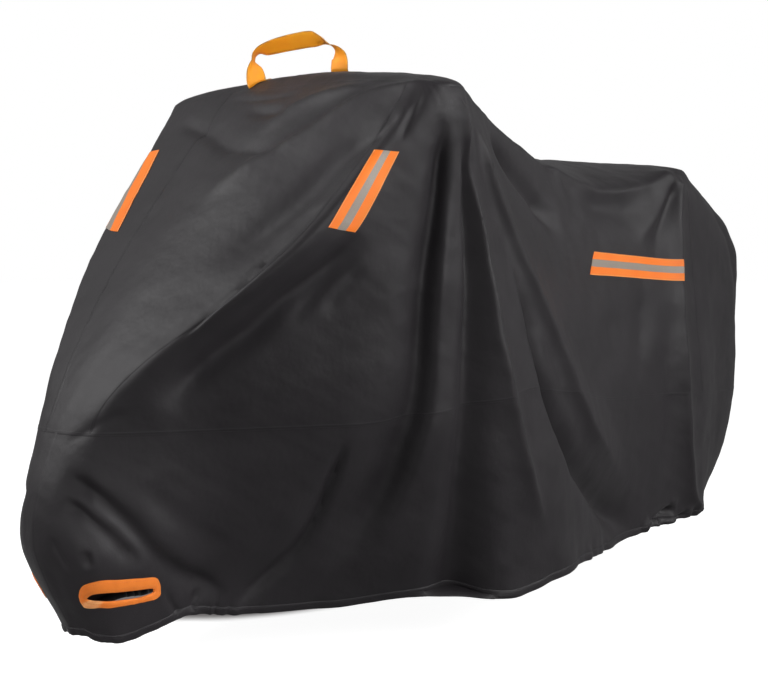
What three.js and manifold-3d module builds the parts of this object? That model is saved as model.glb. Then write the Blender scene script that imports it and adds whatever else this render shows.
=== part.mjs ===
// A fitted cover of coated polyester, in the shape in which it hangs: a crown along the top, a front
// panel, two long sides and a tail under it, and a skirt with an elastic hem, sewn edge to edge.
// Lengths are millimetres and angles degrees. +X runs from the nose to the tail, +Y to the right, +Z up.

import * as THREE from 'three';
import Module from 'manifold-3d';
import { mergeVertices } from 'three/addons/utils/BufferGeometryUtils.js';

const wasm = await Module();
wasm.setup();

// Points in the tables are [back, out, high]: back from a plumb line near the nose, out to the left from
// the middle plane, high over the ground. The part's own origin lies here in those terms.
const origin = { back: 962.8, high: 65.2 };

const cloth = { thickness: 2, seamGap: 0.5 };
const sewnGap = 0.45;                       // between the cloth and what is sewn flat on it
const strip = { thickness: 1, reach: 45 };  // reach is how far a cutter stands out from the cloth
const slot = { rib: 3.2, row: 4.545, length: 168, height: 22, rise: 10, reach: 24 };
const outlineRoundness = 0.8;               // 1 makes the slot an ellipse, less makes it fuller
const binding = { width: 17, thickness: 1.2, clearance: 0.4 };
const webbing = { width: 48, thickness: 1.8, tab: 44 };
const handle = { back: 482, out: -22, turn: 25, steps: 30, ribs: [-13, 13] };
const frontSeam = { left: 2 + 2 / 3, right: -4 / 3 };  // rib numbers of the two front seams
const tailCorner = 16;
const lockBand = { rib: 5, row: 4 + 1 / 3 };
const hemRow = 5;

/** Rows as objects with the named columns. */
const table = (names, rows) => rows.map(row => Object.fromEntries(names.map((name, k) => [name, row[k]])));

// A rib is a line that runs from the spine down to the hem. It passes the shoulder, the upper seam, the
// waist seam and the knee, which bulges out between waist and hem. The right side mirrors the left one.
const ribs = table(
  ['name', 'columns', 'spine', 'shoulder', 'upper', 'waist', 'bulge', 'hem'],
  [
    ['nose centre', 2, 455, [410, 0, 1298], [60, 0], [-255, 0], 80, [-225, 0, 90]],
    ['nose inner', 3, 462, [410, 150, 1298], [80, 130], [-253, 32], 80, [-215, 30, 78]],
    ['nose outer', 3, 470, [413, 300, 1292], [110, 270], [-246, 66], 78, [-195, 62, 68]],
    ['front seam', 2, 480, [425, 435, 1278], [160, 385], [-228, 105], 70, [-165, 95, 65]],
    ['front side', 2, 487, [432, 452, 1276], [225, 405], [-150, 165], 48, [-85, 120, 85]],
    ['front flank', 3, 495, [440, 465, 1275], [290, 425], [-40, 222], 25, [10, 130, 105]],
    ['fork', 4, 505, [455, 475, 1275], [360, 447], [130, 315], 20, [110, 165, 95]],
    ['fork back', 4, 515, [470, 480, 1275], [430, 468], [310, 410], 15, [280, 255, 95]],
    ['peak front', 4, 525, [485, 480, 1275], [480, 480], [470, 470], 15, [500, 380, 112]],
    ['peak back', 4, 540, [510, 475, 1274], [560, 475], [620, 500], 10, [680, 480, 95]],
    ['knee', 5, 600, [580, 435, 1258], [660, 440], [760, 485], 10, [840, 485, 115]],
    ['flank', 4, 730, [730, 355, 1222], [825, 380], [930, 430], 10, [1000, 435, 128]],
    ['flank back', 3, 930, [930, 285, 1166], [1000, 330], [1080, 380], 10, [1140, 380, 125]],
    ['dip', 3, 1150, [1150, 237, 1098], [1170, 290], [1240, 340], 10, [1280, 320, 120]],
    ['dip back', 2, 1360, [1360, 215, 1067], [1360, 265], [1400, 310], 10, [1430, 280, 128]],
    ['rise', 2, 1560, [1560, 205, 1085], [1560, 250], [1580, 290], 10, [1600, 260, 138]],
    ['tail corner', 2, 1680, [1730, 200, 1130], [1740, 235], [1750, 270], 10, [1770, 240, 148]],
    ['tail side', 2, 1720, [1780, 170, 1130], [1920, 200], [1915, 212], 15, [1860, 190, 157]],
    ['tail back', 2, 1735, [1800, 90, 1140], [2130, 130], [2110, 140], 35, [1940, 120, 160]],
    ['tail centre', 0, 1750, [1810, 0, 1140], [2245, 0], [2222, 0], 40, [1995, 0, 160]],
  ],
);
const lastRib = ribs.length - 1;
const ribCount = 2 * lastRib;
const rowSteps = [2, 4, 5, 3, 3];           // facets down each rib, from one named point to the next

// Heights by distance back: of the spine, the upper seam and the waist seam.
const spineHeight = [
  [400, 1322], [530, 1334], [800, 1262], [1050, 1190], [1300, 1155], [1600, 1155], [1800, 1148],
];
const upperHeight = [[110, 940], [160, 962], [450, 1020], [800, 980], [1200, 930], [2200, 880]];
const waistHeight = [[-300, 520], [300, 525], [750, 585], [1200, 520], [2200, 480]];
const knee = { along: 0.52, drop: 0.48, from: 0, to: 1850 };  // shares of the way from waist to hem

// A fold runs along its path of [rib, row] marks. left and right are its widths on the two sides of the
// path, height is out of the cloth, crisp sharpens its line, narrow is its size at the start as a share of
// the size at the end, and fadeIn and fadeOut are the shares of the path over which it dies away.
// Negative ribs lie on the right side.
const folds = table(
  ['name', 'left', 'right', 'height', 'crisp', 'narrow', 'fadeIn', 'fadeOut', 'path'],
  [
    ['peak trough', 50, 26, -34, 0.35, 0.25, 0.10, 0.25,
      [[6.7, 1.35], [6.95, 1.62], [7.05, 2.0], [7.2, 2.35], [7.3, 2.7], [7.35, 3.0], [7.2, 3.4], [7.0, 3.8],
        [6.8, 4.3], [6.5, 4.8]]],
    ['fork trough', 45, 45, -36, 0.20, 0.25, 0.10, 0.10,
      [[8.25, 1.45], [8.35, 1.75], [8.35, 2.15], [8.42, 2.4], [8.3, 2.75], [8.2, 3.0], [8.12, 3.6],
        [8.1, 4.25], [8.15, 5.0]]],
    ['bright crest', 50, 30, 34, 0.75, 0.30, 0.08, 0.12,
      [[10.0, 1.15], [10.02, 1.47], [9.95, 1.75], [9.51, 2.08], [9.43, 2.48], [9.35, 2.85], [9.38, 3.2],
        [9.5, 3.7], [9.65, 4.05], [9.95, 4.4], [10.3, 4.85]]],
    ['knee trough', 60, 60, -55, 0.15, 0.22, 0.15, 0.22,
      [[10.1, 1.9], [10.23, 2.33], [10.25, 2.55], [10.19, 2.78], [10.15, 2.97], [10.2, 3.33], [10.5, 3.77],
        [11.05, 4.17], [11.7, 4.45], [13.1, 4.85]]],
    ['knee ridge', 35, 110, 34, 0.45, 0.30, 0.12, 0.30,
      [[10.35, 1.45], [10.45, 1.82], [10.66, 2.07], [10.82, 2.22], [10.94, 2.43], [11.15, 2.65],
        [11.43, 2.8], [11.7, 3.0], [12.11, 3.3], [12.6, 3.6], [13.2, 4.0]]],
    ['flank trough', 45, 45, -34, 0.15, 0.45, 0.25, 0.25,
      [[10.5, 1.05], [11.2, 0.98], [11.7, 1.02], [12.0, 1.27], [12.2, 1.57], [12.4, 1.85], [12.35, 2.15]]],
    ['sail crest', 30, 45, 20, 0.75, 0.6, 0.08, 0.30,
      [[4.6, 0.85], [3.2, 1.02], [2.35, 1.15], [1.95, 1.28], [1.55, 1.43], [1.15, 1.54], [0.71, 1.64],
        [0.36, 1.74], [-0.1, 1.84]]],
    ['sail trough', 50, 50, -20, 0.1, 0.7, 0.2, 0.3,
      [[2.9, 1.38], [2.3, 1.58], [2.1, 1.77], [1.8, 1.95], [1.3, 2.15]]],
    ['swag', 16, 30, -12, 0.5, 1, 0.25, 0.25,
      [[-2.2, 1.33], [-0.96, 1.48], [-0.15, 1.535], [0.41, 1.56], [0.81, 1.56], [1.1, 1.54]]],
    ['upper ridge', 20, 26, 12, 0.5, 1, 0.3, 0.3,
      [[2.3, 1.10], [1.3, 1.17], [0.66, 1.30], [0.41, 1.39], [0.3, 1.48]]],
    ['diagonal trough', 40, 34, -30, 0.2, 0.5, 0.2, 0.25,
      [[5.35, 2.10], [5.15, 2.30], [4.95, 2.45], [5.0, 2.57], [4.75, 2.67], [4.4, 2.78], [3.9, 2.90]]],
    ['nose fold upper', 26, 20, -24, 0.3, 0.5, 0.12, 0.2,
      [[1.38, 3.46], [2.3, 3.58], [3.2, 3.72], [3.9, 4.03], [4.4, 4.4], [4.75, 4.58], [5.3, 4.78], [5.7, 4.98]]],
    ['nose fold lower', 22, 26, -22, 0.2, 0.6, 0.15, 0.3,
      [[1.4, 3.72], [2.3, 3.86], [3.1, 4.02], [3.6, 4.22], [4.05, 4.48]]],
    ['nose soft', 35, 35, -12, 0.1, 0.8, 0.3, 0.3, [[4.25, 3.45], [4.75, 3.85], [5.26, 4.12], [5.9, 4.38]]],
    ['fork sweep', 40, 12, -22, 0.5, 0.35, 0.15, 0.1,
      [[6.73, 2.83], [6.64, 3.08], [6.66, 3.35], [6.58, 3.7], [6.49, 4.25], [6.35, 4.6], [6.24, 4.78],
        [6.04, 4.97]]],
    ['fork sweep second', 26, 22, -14, 0.2, 0.6, 0.25, 0.1,
      [[7.04, 3.88], [6.98, 4.3], [6.91, 4.65], [6.75, 4.9]]],
    ['dip edge', 22, 35, 12, 0.8, 1, 0.1, 0.05,
      [[13.2, 0.45], [13.24, 0.80], [13.61, 0.98], [14.08, 1.08], [14.72, 1.07], [15.28, 1.03], [15.88, 1.0]]],
    ['dip hollow', 45, 45, -12, 0.1, 1, 0.3, 0.3, [[13.2, 1.35], [13.8, 1.42], [14.4, 1.45], [14.9, 1.42]]],
    ['tail fold', 30, 18, 12, 0.5, 1, 0.1, 0.4, [[15.75, 1.08], [15.34, 1.42], [14.96, 1.72], [14.7, 2.0]]],
    ['tail edge', 30, 40, 20, 0.85, 1, 0.05, 0.05,
      [[15.95, 1.02], [15.85, 1.67], [15.75, 2.12], [15.68, 2.4], [15.6, 2.75], [15.68, 3.52], [15.95, 4.4],
        [16.3, 5.0]]],
    ['tail soft upper', 35, 35, -10, 0.1, 1, 0.3, 0.3, [[14.6, 2.2], [14.54, 2.35], [14.3, 2.6], [14.1, 2.8]]],
    ['tail soft lower', 35, 35, -14, 0.1, 0.8, 0.3, 0.3, [[14.9, 2.8], [14.7, 3.4], [14.5, 4.05], [14.34, 4.7]]],
    ['hem fold', 30, 22, -20, 0.3, 1, 0.2, 0.1, [[14.2, 5.0], [14.6, 4.85], [15.1, 4.72], [15.5, 4.6]]],
    ['right peak trough', 30, 46, -30, 0.3, 0.3, 0.10, 0.20,
      [[-6.5, 1.4], [-6.8, 1.8], [-6.9, 2.3], [-7.1, 2.8], [-6.9, 3.4], [-6.6, 4.0], [-6.2, 4.7]]],
    ['right fork trough', 42, 42, -34, 0.2, 0.3, 0.10, 0.10,
      [[-8.5, 1.5], [-8.6, 2.0], [-8.45, 2.6], [-8.3, 3.1], [-8.25, 3.8], [-8.4, 4.9]]],
    ['right crest', 32, 48, 30, 0.7, 0.35, 0.08, 0.15,
      [[-9.9, 1.2], [-9.8, 1.7], [-9.6, 2.2], [-9.5, 2.8], [-9.6, 3.5], [-9.9, 4.2], [-10.2, 4.8]]],
    ['right knee trough', 55, 55, -46, 0.15, 0.3, 0.15, 0.22,
      [[-10.4, 1.7], [-10.5, 2.3], [-10.6, 2.9], [-10.8, 3.5], [-11.4, 4.1], [-12.4, 4.7]]],
    ['right knee ridge', 90, 35, 28, 0.4, 0.35, 0.12, 0.30,
      [[-10.8, 1.5], [-11.2, 2.1], [-11.6, 2.6], [-12.1, 3.2], [-13.0, 3.9]]],
    ['right flank trough', 42, 42, -26, 0.15, 0.5, 0.25, 0.25,
      [[-10.9, 1.1], [-11.6, 1.1], [-12.2, 1.4], [-12.6, 1.8], [-12.7, 2.3]]],
    ['right nose fold', 26, 26, -20, 0.3, 0.6, 0.15, 0.2,
      [[-1.2, 3.55], [-2.4, 3.7], [-3.4, 3.95], [-4.3, 4.4], [-5.2, 4.85]]],
    ['right diagonal', 36, 38, -24, 0.2, 0.5, 0.2, 0.25,
      [[-5.2, 1.9], [-4.9, 2.3], [-4.5, 2.6], [-3.8, 2.85]]],
    ['right tail edge', 36, 30, 16, 0.8, 1, 0.05, 0.05,
      [[-15.95, 1.05], [-15.8, 1.8], [-15.7, 2.5], [-15.75, 3.3], [-16.0, 4.2], [-16.2, 5.0]]],
    ['right tail soft', 35, 35, -14, 0.1, 0.8, 0.3, 0.3,
      [[-14.6, 1.9], [-14.4, 2.7], [-14.6, 3.4], [-14.2, 4.4]]],
    ['tail drape', 40, 40, -14, 0.2, 0.6, 0.2, 0.2, [[-17.6, 1.5], [-17.9, 2.2], [-18.2, 3.0], [-18.0, 3.8]]],
    ['tail drape left', 34, 34, -12, 0.2, 0.6, 0.2, 0.2, [[17.4, 1.4], [17.8, 2.1], [18.3, 2.8], [18.5, 3.6]]],
  ],
);

// How a fold's section follows from its width: a blunt line is rounded over bluntness widths and never less
// than leastRound, its fall reaches bluntReach of the width, and room is how far off it is still counted.
const foldSection = { bluntness: 1.2, leastRound: 1.5, bluntReach: 0.35, room: 4, roomMargin: 20 };

// Panels cover a range of ribs and of rows. Ribs count on past the tail, and lastRib * 2 is the nose again.
const panels = table(
  ['name', 'ribs', 'rows'],
  [
    ['crown', [0, ribCount], [0, 1]],
    ['front_panel', [frontSeam.right, frontSeam.left], [1, 3]],
    ['side_panel_left', [frontSeam.left, tailCorner], [1, 3]],
    ['side_panel_right', [-tailCorner, frontSeam.right], [1, 3]],
    ['tail_panel', [tailCorner, ribCount - tailCorner], [1, 3]],
    ['skirt_left', [0, lastRib], [3, hemRow]],
    ['skirt_right', [lastRib, ribCount], [3, hemRow]],
    ['lock_band_left', [0, lockBand.rib], [lockBand.row, hemRow]],
    ['lock_band_right', [-lockBand.rib, 0], [lockBand.row, hemRow]],
  ],
);

// Corners of the reflective strips as [rib, row] marks, in turn round the strip.
const strips = table(
  ['name', 'corners'],
  [
    ['reflective_strip_front_left', [[2.92, 1.52], [4.39, 1.56], [4.70, 2.08], [3.54, 2.04]]],
    ['reflective_strip_front_right', [[-3.7, 1.52], [-2.33, 1.50], [-2.15, 1.97], [-3.2, 2.0]]],
    ['reflective_strip_rear_left', [[13.29, 2.08], [15.62, 2.07], [15.57, 2.25], [13.06, 2.25]]],
    ['reflective_strip_rear_right', [[-13.2, 2.06], [-15.6, 2.08], [-15.6, 2.26], [-13.0, 2.24]]],
  ],
);

// Stations of the carry handle. across and up are measured in the plane in which it stands, from the middle
// between its feet, and lean turns the webbing's width out of that plane.
const handleStations = table(
  ['name', 'across', 'up', 'lean'],
  [
    ['left foot', -106, -12, 8],
    ['left leg', -108, 18, 30],
    ['left pinch', -112, 50, 68],
    ['left corner', -98, 70, 62],
    ['left top', -72, 81, 42],
    ['top', -10, 97, 36],
    ['right top', 44, 105, 42],
    ['right corner', 76, 97, 70],
    ['right pinch', 94, 82, 74],
    ['right bend', 106, 66, 50],
    ['right leg', 108, 34, 34],
    ['right foot', 106, -14, 12],
  ],
);

const colours = { cloth: 0x2f2e31, orange: 0xff7a20, amber: 0xffaa22 };
const clothMaterial = new THREE.MeshStandardMaterial({ color: colours.cloth, roughness: 0.55, metalness: 0 });
const stripMaterial = new THREE.MeshStandardMaterial({ color: colours.orange, roughness: 0.4, metalness: 0 });
const bindingMaterial = new THREE.MeshStandardMaterial({ color: colours.orange, roughness: 0.7, metalness: 0 });
const webbingMaterial = new THREE.MeshStandardMaterial({ color: colours.amber, roughness: 0.7, metalness: 0 });

/** Slopes of a curve through points p at the knots t. In each coordinate a slope is the weighted harmonic
 *  mean of the chords before and after, or 0 where those differ in sign, so that nothing overshoots. */
function slopesThrough(t, p, first) {
  const chords = p.slice(1).map((next, i) => next.map((value, k) => (value - p[i][k]) / (t[i + 1] - t[i])));
  return p.map((_, i) => {
    if (i === 0) return first ?? chords[0];
    if (i === p.length - 1) return chords[i - 1];
    const before = t[i] - t[i - 1];
    const after = t[i + 1] - t[i];
    const weights = [2 * after + before, after + 2 * before];
    return chords[i].map((next, k) => {
      const last = chords[i - 1][k];
      return last * next > 0 ? (weights[0] + weights[1]) / (weights[0] / last + weights[1] / next) : 0;
    });
  });
}

/** Point at q on the cubic through the points p with slopes m at the knots t. */
function cubicAt(t, p, m, q) {
  const i = Math.max(0, Math.min(t.length - 2, t.findLastIndex(knot => knot <= q)));
  const h = t[i + 1] - t[i];
  const f = (q - t[i]) / h;
  const [near, nearSlope] = [2 * f ** 3 - 3 * f ** 2 + 1, (f ** 3 - 2 * f ** 2 + f) * h];
  const [far, farSlope] = [3 * f ** 2 - 2 * f ** 3, (f ** 3 - f ** 2) * h];
  return p[i].map((value, k) => near * value + nearSlope * m[i][k] + far * p[i + 1][k] + farSlope * m[i + 1][k]);
}

/** Value at q by straight lines through a list of [place, value] pairs, level beyond its ends. */
function linearAt(pairs, q) {
  const i = Math.max(0, Math.min(pairs.length - 2, pairs.findLastIndex(([place]) => place <= q)));
  const [[a, low], [b, high]] = [pairs[i], pairs[i + 1]];
  return THREE.MathUtils.mapLinear(THREE.MathUtils.clamp(q, a, b), a, b, low, high);
}

/** Running sum that starts at 0. */
const runningSum = steps => steps.reduce((sums, step) => [...sums, sums.at(-1) + step], [0]);
const distance = (a, b) => Math.hypot(...a.map((value, k) => value - b[k]));

/** The six named points of a left rib, as [back, out, high]. */
function ribPoints({ spine, shoulder, upper, waist, bulge, hem }) {
  const places = spineHeight.map(([back]) => back);
  const heights = spineHeight.map(([, high]) => [high]);
  const [top] = cubicAt(places, heights, slopesThrough(places, heights), spine);
  const waistPoint = [...waist, linearAt(waistHeight, waist[0])];
  const share = [knee.along, knee.along, knee.drop];
  const kneePoint = waistPoint.map((value, k) => value + (hem[k] - value) * share[k]);
  const middle = [THREE.MathUtils.clamp(waist[0], knee.from, knee.to), 0];
  const away = new THREE.Vector2(waist[0] - middle[0], waist[1] - middle[1]).setLength(bulge);
  kneePoint[0] += away.x;
  kneePoint[1] += away.y;
  return [[spine, 0, top], shoulder, [...upper, linearAt(upperHeight, upper[0])], waistPoint, kneePoint, hem];
}

const leftRibs = ribs.map(ribPoints);
const rightRibs = leftRibs.slice(1, -1).reverse().map(rib => rib.map(([back, out, high]) => [back, -out, high]));
const ring = [...leftRibs, ...rightRibs];

/** A rib's curve: knots by chord length, evened out, and a start that leaves the spine nearly level. */
const evening = 0.6;
const ribCurves = ring.map(points => {
  const chords = points.slice(1).map((point, i) => distance(point, points[i]) ** evening);
  const knots = runningSum(chords);
  const start = points[1].map((value, k) => (value - points[0][k]) / chords[0]);
  start[2] *= evening;
  return { points, knots, slopes: slopesThrough(knots, points, start) };
});

/** How far round the cover each rib lies: mostly by the waist, less by the hem and the shoulder. */
const shares = [[3, 0.5], [5, 0.3], [1, 0.2]];
const places = runningSum(ring.map((points, i) => {
  const next = ring[(i + 1) % ribCount];
  return shares.reduce((sum, [row, share]) => sum + share * distance(points[row], next[row]), 0);
}));
const wholeRound = places.at(-1);

/** The closed line round the cover at one row, as knots, points and slopes. */
const lineCache = new Map();
function lineRound(row) {
  if (lineCache.has(row)) return lineCache.get(row);
  const points = ribCurves.map(({ points: p, knots, slopes }) => {
    const i = Math.min(Math.floor(row), knots.length - 2);
    return cubicAt(knots, p, slopes, knots[i] + (knots[i + 1] - knots[i]) * (row - i));
  });
  const pad = 3;                            // ribs repeated before the first and after the last
  const order = Array.from({ length: ribCount + 2 * pad + 1 }, (_, k) => k - pad);
  const onRing = k => THREE.MathUtils.euclideanModulo(k, ribCount);
  const t = order.map(k => places[onRing(k)] + Math.floor(k / ribCount) * wholeRound);
  const p = order.map(k => points[onRing(k)]);
  const line = { t, p, slopes: slopesThrough(t, p) };
  lineCache.set(row, line);
  return line;
}

/** Point of the smooth cloth, without folds, at a rib and row number. */
function smoothPoint(rib, row) {
  const wrapped = THREE.MathUtils.euclideanModulo(rib, ribCount);
  const i = Math.floor(wrapped);
  const place = places[i] + (places[i + 1] - places[i]) * (wrapped - i);
  const { t, p, slopes } = lineRound(THREE.MathUtils.clamp(row, 0, hemRow));
  const [back, out, high] = cubicAt(t, p, slopes, place);
  return new THREE.Vector3(back - origin.back, -out, high - origin.high);
}

/** Steps of the smooth cloth for one rib and for one row, and its outward normal. */
function smoothFrame(rib, row) {
  const step = 0.02;
  const [above, below] = [Math.max(0, row - step), Math.min(hemRow, row + step)];
  const sideways = smoothPoint(rib + step, row).sub(smoothPoint(rib - step, row)).divideScalar(2 * step);
  const down = smoothPoint(rib, below).sub(smoothPoint(rib, above)).divideScalar(below - above);
  return { sideways, down, normal: down.clone().cross(sideways).normalize() };
}

/** The mark that lies `along` millimetres round the cloth and `up` millimetres up it from a mark. */
function walk([rib, row], along, up) {
  const steps = 8;
  for (let k = 0; k < steps; k += 1) {
    const { sideways, down } = smoothFrame(rib, row);
    rib += along / steps / sideways.length();
    row -= up / steps / down.length();
  }
  return [rib, row];
}

/** Points on a fold's path, evenly spaced by its marks. */
function foldPath(marks) {
  const samples = 28;
  const t = marks.map((_, k) => k / (marks.length - 1));
  const slopes = slopesThrough(t, marks);
  return Array.from({ length: samples }, (_, k) => smoothPoint(...cubicAt(t, marks, slopes, k / (samples - 1))));
}

/** How far a fold lifts the cloth at a point. The lift falls off exponentially with the distance from the
 *  path, over a width that grows along it. Its line is rounded where it isn't crisp, and its ends fade. */
function foldLift(fold, line, point, normal) {
  const lengths = line.slice(1).map((end, k) => end.distanceTo(line[k]));
  const run = runningSum(lengths);
  let nearest = { gap: Infinity, along: 0, turn: 0 };
  line.slice(1).forEach((end, k) => {
    const segment = end.clone().sub(line[k]);
    const from = point.clone().sub(line[k]);
    const share = THREE.MathUtils.clamp(from.dot(segment) / segment.lengthSq(), 0, 1);
    const off = from.addScaledVector(segment, -share);
    const gap = off.length();
    if (gap >= nearest.gap) return;
    nearest = { gap, along: run[k] + share * lengths[k], turn: segment.cross(off).dot(normal) };
  });
  const t = nearest.along / run.at(-1);
  const grow = fold.narrow + (1 - fold.narrow) * t;
  const wide = (nearest.turn > 0 ? fold.right : fold.left) * grow;
  const soft = (1 - fold.crisp) * foldSection.bluntness * wide + foldSection.leastRound;
  const reach = wide * THREE.MathUtils.lerp(foldSection.bluntReach, 1, fold.crisp);
  const fall = Math.exp(-(Math.hypot(nearest.gap, soft) - soft) / reach);
  const fadeIn = THREE.MathUtils.smoothstep(t, 0, fold.fadeIn);
  const fadeOut = THREE.MathUtils.smoothstep(1 - t, 0, fold.fadeOut);
  return fold.height * fadeIn * fadeOut * fall * (1 + grow) / 2;
}

// The grid of the cloth: columns round it from the nose over the left side, and rows down it.
const evenly = (from, steps) => Array.from({ length: steps }, (_, k) => from + k / steps);
const leftColumns = ribs.flatMap(({ columns }, rib) => evenly(rib, columns));
const rightColumns = leftColumns.slice(1).reverse().map(rib => ribCount - rib);
const columns = [...leftColumns, lastRib, ...rightColumns];
const rows = [...rowSteps.flatMap((steps, row) => evenly(row, steps)), hemRow];
const wrap = i => THREE.MathUtils.euclideanModulo(i, columns.length);
const cells = columns.flatMap((_, i) => rows.slice(1).map((__, j) => ({ i, j })));

/** One number for a point of the grid. The two sides share their points on the spine. */
function pointIndex(i, j) {
  const column = j === 0 ? Math.min(wrap(i), wrap(-i)) : wrap(i);
  return column * rows.length + j;
}

/** Corners of a cell, in turn, as seen from outside against the clock. */
const corners = ({ i, j }) => [[i, j], [i, j + 1], [i + 1, j + 1], [i + 1, j]].map(([a, b]) => pointIndex(a, b));
/** The cell next to each edge that runs from a corner to the following one, or null past the hem. */
const neighbours = ({ i, j }) => [
  { i: wrap(i - 1), j },
  j + 2 < rows.length ? { i, j: j + 1 } : null,
  { i: wrap(i + 1), j },
  j > 0 ? { i, j: j - 1 } : { i: wrap(-i - 1), j },
];

const grid = columns.flatMap(rib => rows.map(row => smoothPoint(rib, row)));

/** Unit normals at the grid's points, as sums over the facets round them. */
function gridNormals(points) {
  const sums = points.map(() => new THREE.Vector3());
  for (const cell of cells) {
    const [a, b, c, d] = corners(cell);
    const facet = points[c].clone().sub(points[a]).cross(points[d].clone().sub(points[b]));
    for (const corner of [a, b, c, d]) sums[corner].add(facet);
  }
  return sums.map(sum => sum.normalize());
}

const smoothNormals = gridNormals(grid);
const lifts = grid.map(() => 0);
for (const fold of folds) {
  const line = foldPath(fold.path);
  const farthest = foldSection.room * Math.max(fold.left, fold.right) + foldSection.roomMargin;
  const room = new THREE.Box3().setFromPoints(line).expandByScalar(farthest);
  grid.forEach((point, k) => {
    if (room.containsPoint(point)) lifts[k] += foldLift(fold, line, point, smoothNormals[k]);
  });
}
const folded = grid.map((point, k) => point.clone().addScaledVector(smoothNormals[k], lifts[k]));
const normals = gridNormals(folded);

/** True where a rib number lies between two others, counted on round the cover. */
const between = (rib, [from, to]) => THREE.MathUtils.euclideanModulo(rib - from, ribCount) < to - from;
const cellMiddle = ({ i, j }) => {
  const step = (i + 1 < columns.length ? columns[i + 1] : ribCount) - columns[i];
  return [columns[i] + step / 2, (rows[j] + rows[j + 1]) / 2];
};
const cellsOf = range => cells.filter(cell => {
  const [rib, row] = cellMiddle(cell);
  return between(rib, range.ribs) && row > range.rows[0] && row < range.rows[1];
});

/** Closed shell over the given cells, between two heights over the cloth's outer face. Its edges are drawn
 *  in by `trim`, square to each edge. */
function shell(shellCells, low, high, trim = 0) {
  const chosen = new Set(shellCells.map(({ i, j }) => `${i},${j}`));
  const has = cell => cell !== null && chosen.has(`${cell.i},${cell.j}`);
  const inward = new Map();
  const edges = [];
  for (const cell of shellCells) {
    const ends = corners(cell);
    const middle = ends.reduce((sum, k) => sum.add(folded[k]), new THREE.Vector3()).divideScalar(ends.length);
    neighbours(cell).forEach((neighbour, k) => {
      if (has(neighbour)) return;
      const edge = [ends[k], ends[(k + 1) % ends.length]];
      const along = folded[edge[1]].clone().sub(folded[edge[0]]);
      const square = middle.clone().sub(folded[edge[0]]).projectOnPlane(along.normalize()).normalize();
      for (const end of edge) inward.set(end, [...(inward.get(end) ?? []), square]);
      edges.push(edge);
    });
  }
  const vertices = [];
  const numbers = new Map();
  const vertex = (k, height) => {
    const key = `${k},${height}`;
    if (!numbers.has(key)) {
      const point = folded[k].clone().addScaledVector(normals[k], height);
      const square = (inward.get(k) ?? []).reduce((sum, side) => sum.add(side), new THREE.Vector3());
      if (square.lengthSq() > 0) point.addScaledVector(square, (2 * trim) / square.lengthSq());
      numbers.set(key, vertices.length);
      vertices.push(point);
    }
    return numbers.get(key);
  };
  const triangles = [];
  const quad = (a, b, c, d) => triangles.push(a, b, c, a, c, d);
  for (const cell of shellCells) {
    const ends = corners(cell);
    const turned = folded[ends[0]].distanceTo(folded[ends[2]]) > folded[ends[1]].distanceTo(folded[ends[3]]);
    const [a, b, c, d] = turned ? [ends[1], ends[2], ends[3], ends[0]] : ends;
    quad(...[a, b, c, d].map(k => vertex(k, high)));
    quad(...[a, d, c, b].map(k => vertex(k, low)));
  }
  for (const [a, b] of edges) quad(vertex(a, high), vertex(a, low), vertex(b, low), vertex(b, high));
  return solidGeometry(vertices, triangles);
}

function solidGeometry(vertices, triangles) {
  const geometry = new THREE.BufferGeometry();
  geometry.setAttribute('position', new THREE.Float32BufferAttribute(vertices.flatMap(p => p.toArray()), 3));
  geometry.setIndex(triangles);
  return geometry;
}

/** A geometry as a solid that can be joined and cut. */
function solid(geometry) {
  const weld = 1e-4;
  const merged = mergeVertices(geometry, weld);
  return new wasm.Manifold(new wasm.Mesh({
    numProp: 3,
    vertProperties: new Float32Array(merged.attributes.position.array),
    triVerts: new Uint32Array(merged.index.array),
  }));
}

function geometryOf(manifold) {
  const { vertProperties, triVerts } = manifold.getMesh();
  const geometry = new THREE.BufferGeometry();
  geometry.setAttribute('position', new THREE.BufferAttribute(vertProperties, 3));
  geometry.setIndex(new THREE.BufferAttribute(triVerts, 1));
  return geometry;
}

/** Solid that stands through the cloth over an outline of marks, square to the cloth all round. */
function plug(marks, reach) {
  const sides = marks.map(mark => ({ point: smoothPoint(...mark), normal: smoothFrame(...mark).normal }));
  const middle = {
    point: sides.reduce((sum, { point }) => sum.add(point), new THREE.Vector3()).divideScalar(sides.length),
    normal: sides.reduce((sum, { normal }) => sum.add(normal), new THREE.Vector3()).normalize(),
  };
  const spokes = sides.map(({ point }) => point.clone().sub(middle.point));
  const turn = spokes.reduce((sum, spoke, k) => (
    sum + spoke.clone().cross(spokes[(k + 1) % spokes.length]).dot(middle.normal)), 0);
  if (turn < 0) sides.reverse();
  const stations = [...sides, middle];
  const raised = height => stations.map(({ point, normal }) => point.clone().addScaledVector(normal, height));
  const vertices = [...raised(reach), ...raised(-reach)];
  const triangles = [];
  sides.forEach((_, k) => {
    const next = (k + 1) % sides.length;
    const [above, below] = [sides.length, 2 * sides.length + 1];
    const [lower, lowerNext] = [k + stations.length, next + stations.length];
    triangles.push(above, k, next, below, lowerNext, lower);
    triangles.push(k, lower, lowerNext, k, lowerNext, next);
  });
  return solid(solidGeometry(vertices, triangles));
}

/** Outline of a slot grown by a margin: a flat lens whose right end lies higher, as marks round it. */
function slotOutline(side, margin) {
  const count = 24;
  const fuller = value => Math.sign(value) * Math.abs(value) ** outlineRoundness;
  return Array.from({ length: count }, (_, k) => {
    const angle = THREE.MathUtils.degToRad(360 * k / count);
    const along = (slot.length / 2 + margin) * fuller(Math.cos(angle));
    const up = (slot.height / 2 + margin) * fuller(Math.sin(angle));
    const rise = slot.rise * along / slot.length;
    return walk([side * slot.rib, slot.row], side * along, up + rise);
  });
}

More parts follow.
